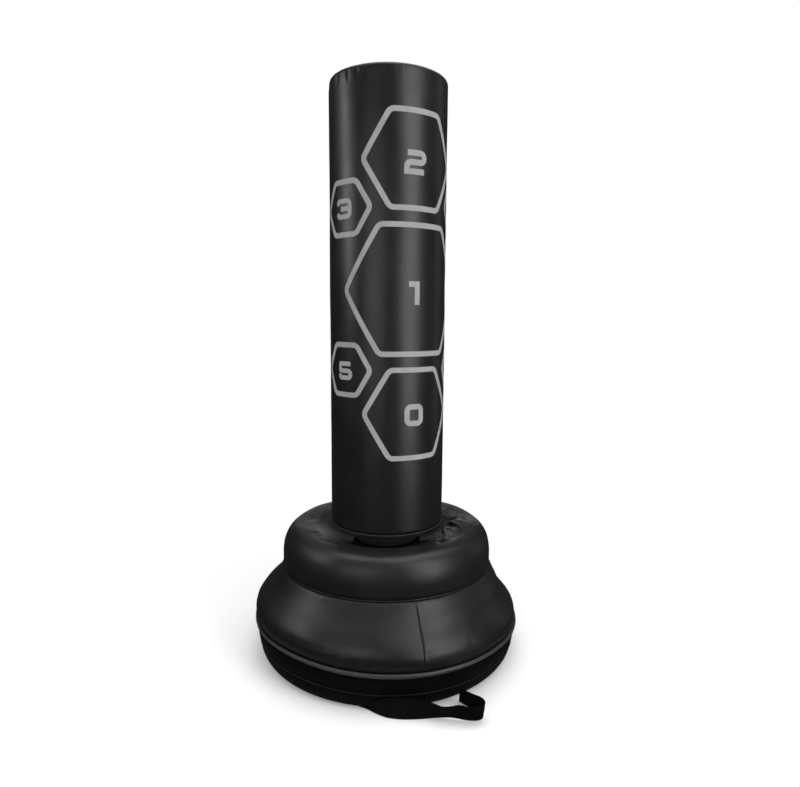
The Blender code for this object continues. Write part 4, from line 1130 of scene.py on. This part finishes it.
add_piece("zip_coil", coil, "base", zip_nylon, "zip_nylon", "zip_chain")
print(count, "teeth on the zip")

# %% Tab over the ends of the zip
FLAP_FOOT, FLAP_TOP = 0.078, 0.0963
FLAP_THICK = 0.0012
turn = np.pi + np.radians(np.linspace(-4, 4, 17))[None]
line = thick_section(pairs(RIM_RADIUS + 0.0017, np.linspace(FLAP_FOOT, FLAP_TOP, 8)), FLAP_THICK)
points = settle(around(turn, line[:, :1], line[:, 1:]))
tab_uv = pairs(np.arange(19)[None] * 0.003, np.arange(16)[:, None] * 0.002)
tab_mesh = tube_mesh("zip_end_flap", points, tab_uv)
add_piece("zip_end_flap", tab_mesh, "base", pan_cloth, "skirt_cloth", "zip_end_tab", sharp=50)
print("zip ends covered")

# %% [markdown]
# ## The carry handle
#
# One strap of flat webbing, 50 mm wide, is sewn to the pan at both ends and stands on its edge on the floor. Its
# route is a smooth curve through points on the floor, each an azimuth and a distance out from the pan's seam. Its
# left root comes out low from under the pan, it leans out in the middle of its front run, where it has been pulled,
# and its right run is tipped.

# %% The strap along its route
VIEW = -28.5
ROUTE = [
    (-39.5, -0.0200), (-36.0, -0.0130), (-32.3, 0.0015), (-28.5, 0.0145), (-25.0, 0.0210), (-21.0, 0.0255),
    (-16.0, 0.0295), (-12.0, 0.0330), (-9.0, 0.0410), (-6.0, 0.0540), (-3.0, 0.0680), (0.0, 0.0790), (2.0, 0.0795),
    (3.3, 0.0700), (3.5, 0.0560), (2.6, 0.0405), (1.7, 0.0242), (1.0, 0.0027),
]
STRAP_WIDTH = 0.050
STRAP_THICK = 0.0025
STRAP_LEAN = math.radians(32)
STRAP_TIP = math.radians(21)
HINGE_AZIMUTH = math.radians(-19)


def strap_section():
    """A flat band with rounded edges: its width is its height, from its lower edge up, and its thickness is across."""
    half = STRAP_THICK / 2
    angle = np.linspace(np.pi / 2, -np.pi / 2, 5)
    top = [0.0, STRAP_WIDTH - half] + half * pairs(np.sin(angle), np.cos(angle))
    right = np.vstack([pairs(half, np.linspace(STRAP_THICK, STRAP_WIDTH - STRAP_THICK, 9)), top])
    return np.vstack([right, [0.0, STRAP_WIDTH] - right])


azimuth, off = np.array(ROUTE).T
route = even(smooth_line(around(np.radians(azimuth), PAN_SEAM_RADIUS + off, 0.0)[:, :2], 8), 180)
side = -left_of(unit(np.gradient(route, axis=0)))
share = np.linspace(0, 1, len(route))
lean = STRAP_LEAN * hump(share - 0.56, 0.13)
tip = STRAP_TIP * ease((share - 0.62) / 0.10)
raise_by = 0.004 * hump(share - 0.60, 0.07)
tall = 0.10 + 0.90 * ease(share / 0.24)
band = strap_section()
across, up = band[:, :1], band[:, 1:] * tall
out = across * np.cos(lean) + up * np.sin(lean)
high = (up * np.cos(lean) - across * np.sin(lean)) * np.cos(tip)
low = np.minimum(high.min(axis=0), 0.0)
flat = route[None] + side[None] * out[..., None] + plan(VIEW) * (up * np.sin(tip))[..., None]
points = np.concatenate([flat, (high - low + raise_by)[..., None]], axis=-1)
length = reach_along(route)[-1]
uv = pairs(np.concatenate([[0], share * length, [1e-3]])[None], reach_along(band)[:, None])
strap_mesh = tube_mesh("carry_strap", points, uv)
carry_strap = add_piece(
    "carry_strap", strap_mesh, None, webbing, "webbing", "handle_strap", "handle_root_left", "handle_root_right",
    sharp=60,
)
HINGE = around(HINGE_AZIMUTH, RIM_RADIUS + 0.013, 0.0503)
OUTWARD = around(HINGE_AZIMUTH, 1.0, 0.0)
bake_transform(carry_strap)
print(f"strap {length * 1000:.0f} mm long")

# %% [markdown]
# ## The spring
#
# The coil spring is steel rod with closed ends. The neck bends in the middle, so the coil is two pieces: the lower
# half runs from the base to the neck, and the upper half from the neck to the bag.

# %% Two halves of one coil
SPRING_FOOT = 0.2069
SPRING_LENGTH = 0.1325
COIL_RADIUS = 0.050
END_PITCH = 0.0108
WIRE = 0.005
TURNS = 6.5


def coil_centre(turns):
    """The wire's middle line: closed end turns of one pitch, and an even climb between them."""
    climb = SPRING_LENGTH - 2 * WIRE - 2 * END_PITCH
    active = TURNS - 2
    ends = np.minimum(turns, 1) + np.maximum(turns - 1 - active, 0)
    height = SPRING_FOOT + WIRE + ends * END_PITCH + np.clip(turns - 1, 0, active) * climb / active
    return around(turns * TURN, COIL_RADIUS, height)


turn = np.linspace(0, TURN, 12, endpoint=False)[:, None, None]
for name, first, last, bodies, low, high in (
    ("spring_lower_half", 0.0, TURNS / 2, ("base", "neck_flex"), SPRING_FOOT, TILT_HEIGHT),
    ("spring_upper_half", TURNS / 2, TURNS, ("neck_flex", "bag"), TILT_HEIGHT, SPRING_FOOT + SPRING_LENGTH),
):
    path = coil_centre(np.linspace(first, last, 160))
    points = path + WIRE * (np.cos(turn) * unit(path * [1, 1, 0]) + np.sin(turn) * [0, 0, 1.0])
    piece = add_piece(name, tube_mesh(name, points), None, spring_steel, "steel")
    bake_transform(piece)
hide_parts("coil_spring")
print("spring in two halves")

# %% [markdown]
# ### The buffer and the boot
#
# A rubber buffer stands in the coil on the lower plate. A sleeve of black cloth hides the spring between the neck's
# elastic and the bag, and its colour is lighter than black, which paints light into the shade under the bag. It widens
# upwards like a funnel, with a few soft folds. Like the coil, it is two pieces: a lower and an upper half.

# %% The rubber buffer in the coil
BUFFER_RADIUS = 0.022
BUFFER_LENGTH = 0.095
share = np.linspace(0, 1, 25)
waist = 0.0042 * hump(share - 0.5, 0.12) + 0.0042 * ease((share - 0.72) / 0.28)
wall = pairs(BUFFER_RADIUS - 0.0001 - waist, SPRING_FOOT + 0.0002 + (BUFFER_LENGTH - 0.0002) * share)
buffer_line = np.vstack([[0, wall[0, 1]], wall, [0, wall[-1, 1]]])
buffer_mesh = close_seams(grid_mesh("rubber_block", swept(buffer_line, 40)))
rubber_block = add_piece("rubber_block", buffer_mesh, None, rubber, "rubber", "rubber_buffer", sharp=50)
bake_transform(rubber_block)
print("buffer", len(buffer_mesh.polygons), "faces")

# %% Two halves of the boot
BOOT_FOOT = NECK_HEIGHT + 0.0034
BOOT_MIDDLE = (BOOT_FOOT + BAG_FOOT) / 2
BOOT_THICK = 0.0012
BOOT_RADII = (0.0805, 0.1030, 0.1330)


def boot_half(low, high, radius_low, radius_high):
    """A sleeve between two heights: its radius goes evenly from one end to the other, with folds of cosines."""
    share = np.linspace(0, 1, 14)
    line = pairs(radius_low + (radius_high - radius_low) * share, low + (high - low) * share)
    points = swept(thick_section(line, BOOT_THICK), 300)
    turn = full_turn(300)
    fold = np.cos(17 * turn + 2.2 * np.sin(3 * turn)) * 0.0006
    fold = fold + ripples(turn, points[:, :1, 2], 61, 10, (3, 12), 12.0) * 0.0007
    return points + around(turn, 1.0, 0.0) * fold[..., None]


# The boot's lightened cloth is painted light in the shade under the bag.
for name, low, high, radii, bodies in (
    ("boot_lower_half", BOOT_FOOT, BOOT_MIDDLE, BOOT_RADII[:2], ("base", "neck_flex")),
    ("boot_upper_half", BOOT_MIDDLE, BAG_FOOT - GAP, BOOT_RADII[1:], ("neck_flex", "bag")),
):
    piece = ring_piece(name, boot_half(low, high, *radii), radii[0], None, boot_cloth_painted_light, "skirt_cloth")
    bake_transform(piece)
print("boot in two halves")

# %% [markdown]
# ## Camera, light and floor
#
# The camera stands where the photograph was taken from: 1.65 m from the bag's axis and 0.9 m up, looking down a
# little. Five soft lamps stand round the bag. The left and the right one give it its two long highlights, one grazes
# its edge from behind, one fills the front, and a large one hangs overhead. Their azimuths count from the camera's.

# %% Camera
DISTANCE = 1.647
EYE_HEIGHT = 0.895
LENS = 27.88
RIGHT_OF_AXIS, DOWN, ROLL = 1.19, 7.19, 0.36
camera_data = bpy.data.cameras.new("camera")
camera_data.lens = LENS
camera_data.sensor_width = 36.0
camera = put("camera", camera_data)
camera.location = (*plan(VIEW, DISTANCE), EYE_HEIGHT)
turned = Matrix.Identity(3)
for degrees, axis in ((VIEW - RIGHT_OF_AXIS, "Z"), (90 - DOWN, "X"), (ROLL, "Z")):
    turned = turned @ Matrix.Rotation(math.radians(degrees), 3, axis)
camera.rotation_euler = turned.to_euler()
bpy.context.scene.camera = camera
print("camera at", [round(value, 3) for value in camera.location])

# %% Soft lamps
BAG_MIDDLE = Vector((0.0, 0.0, 0.75))
LAMPS = [
    ("left_box", -82, 21, 2.4, (0.40, 1.5), 13, 36),
    ("right_box", 44, 12, 2.5, (1.3, 3.0), 48, 0),
    ("rim_box", 112, 12, 2.6, (0.5, 2.6), 2.5, 0),
    ("fill_box", -25, 8, 3.0, (1.8, 1.5), 16, 0),
    ("top_box", 150, 85, 3.2, (4.0, 4.0), 132, 0),
]
for name, azimuth, elevation, distance, size, power, lean in LAMPS:
    tilt = math.radians(elevation)
    away = Vector((*plan(VIEW + azimuth, math.cos(tilt)), math.sin(tilt)))
    data = bpy.data.lights.new(name, "AREA")
    data.shape = "RECTANGLE"
    data.size, data.size_y = size
    data.energy = power
    lamp = put(name, data)
    lamp.location = BAG_MIDDLE + away * distance
    facing = away.to_track_quat("Z", "Y").to_matrix()
    lamp.rotation_euler = (facing @ Matrix.Rotation(math.radians(lean), 3, "Z")).to_euler()
print(len(LAMPS), "soft lamps")


# %% [markdown]
# ### A white room
#
# The photographed background is pure white, and the base has a soft grey shadow beside it. More light would wash the
# black cloth out, so the white is only for the eye: a ray from the camera finds a white world and a floor that turns
# to an even white a step away from the object. A mirrored ray finds a dark room with a narrow white backdrop behind
# the object. Near the object the floor is a real pale floor with its shadow, lifted by a weak glow so that its lit
# part joins the white without an edge.

# %% World and floor
BEHIND = (*plan(VIEW + 180), 0.0)
WHITE = (1, 1, 1, 1)
ROOM = (0.20, 0.20, 0.20, 1)
DARK, GLOW = 0.03, 0.14


def ray_is_seen(material):
    """1 for a ray from the camera or by way of a mirror or glass, and 0 for light on its way to a surface."""
    rays = wire(material, "LightPath")
    total = rays.outputs["Is Camera Ray"]
    for name in ("Is Glossy Ray", "Is Transmission Ray"):
        total = wire(material, "Math", {0: total, 1: rays.outputs[name]}, operation="MAXIMUM").outputs[0]
    return total


def mixed(material, share, first, second):
    """The first shader where the share is 0, and the second where it is 1."""
    return wire(material, "MixShader", {0: share, 1: first, 2: second}).outputs[0]


def backdrop(material, kind, direction):
    """A white light, and a dark one that turns white in the narrow part of the room behind the object."""
    white, dark = (wire(material, kind, {"Color": WHITE, "Strength": level}).outputs[0] for level in (1.0, DARK))
    towards = wire(material, "VectorMath", {0: direction, 1: BEHIND}, operation="DOT_PRODUCT").outputs["Value"]
    return white, mixed(material, spread(material, towards, start=0.93, stop=0.985), dark, white)


world = bpy.data.worlds.new("studio")
bpy.context.scene.world = world
world.use_nodes = True
room = world.node_tree.nodes["Background"]
room.inputs["Color"].default_value = ROOM
white, behind = backdrop(world, "Background", wire(world, "TexCoord").outputs["Generated"])
mirrored = wire(world, "LightPath").outputs["Is Glossy Ray"]
shown = mixed(world, ray_is_seen(world), room.outputs[0], mixed(world, mirrored, white, behind))
world.node_tree.links.new(shown, world.node_tree.nodes["World Output"].inputs["Surface"])

look = new_finish("studio_floor", (0.86, 0.86, 0.86), 0.9, Specular_IOR_Level=0.0)
paint = look.node_tree.nodes["Principled BSDF"].outputs[0]
place = own_place(look)
away = wire(look, "VectorMath", {0: place}, operation="LENGTH").outputs["Value"]
bearing = wire(look, "VectorMath", {0: place}, operation="NORMALIZE").outputs["Vector"]
white, behind = backdrop(look, "Emission", bearing)
glow = wire(look, "Emission", {"Strength": GLOW}).outputs[0]
lifted = wire(look, "AddShader", {0: paint, 1: glow}).outputs[0]
eye = mixed(look, spread(look, away, start=0.45, stop=0.80), lifted, white)
mirror = mixed(look, spread(look, away, start=0.34, stop=0.44), paint, behind)
mirrored = wire(look, "LightPath").outputs["Is Glossy Ray"]
shown = mixed(look, ray_is_seen(look), paint, mixed(look, mirrored, eye, mirror))
look.node_tree.links.new(shown, look.node_tree.nodes["Material Output"].inputs["Surface"])
corners = np.array([[-30, -30, -0.0005], [30, -30, -0.0005], [30, 30, -0.0005], [-30, 30, -0.0005]])
floor = put("studio_floor", mesh_of("studio_floor", corners, np.array([[0, 1, 2, 3]])))
floor.data.materials.append(look)
floor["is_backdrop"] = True
bpy.context.scene.view_settings.view_transform = "Standard"
print("world and floor")

# %% [markdown]
# ## The dressed size

# %% Print the dressed box
low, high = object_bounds()
print("dressed box", [round((b - a) * 1000, 1) for a, b in zip(low, high)], "mm")
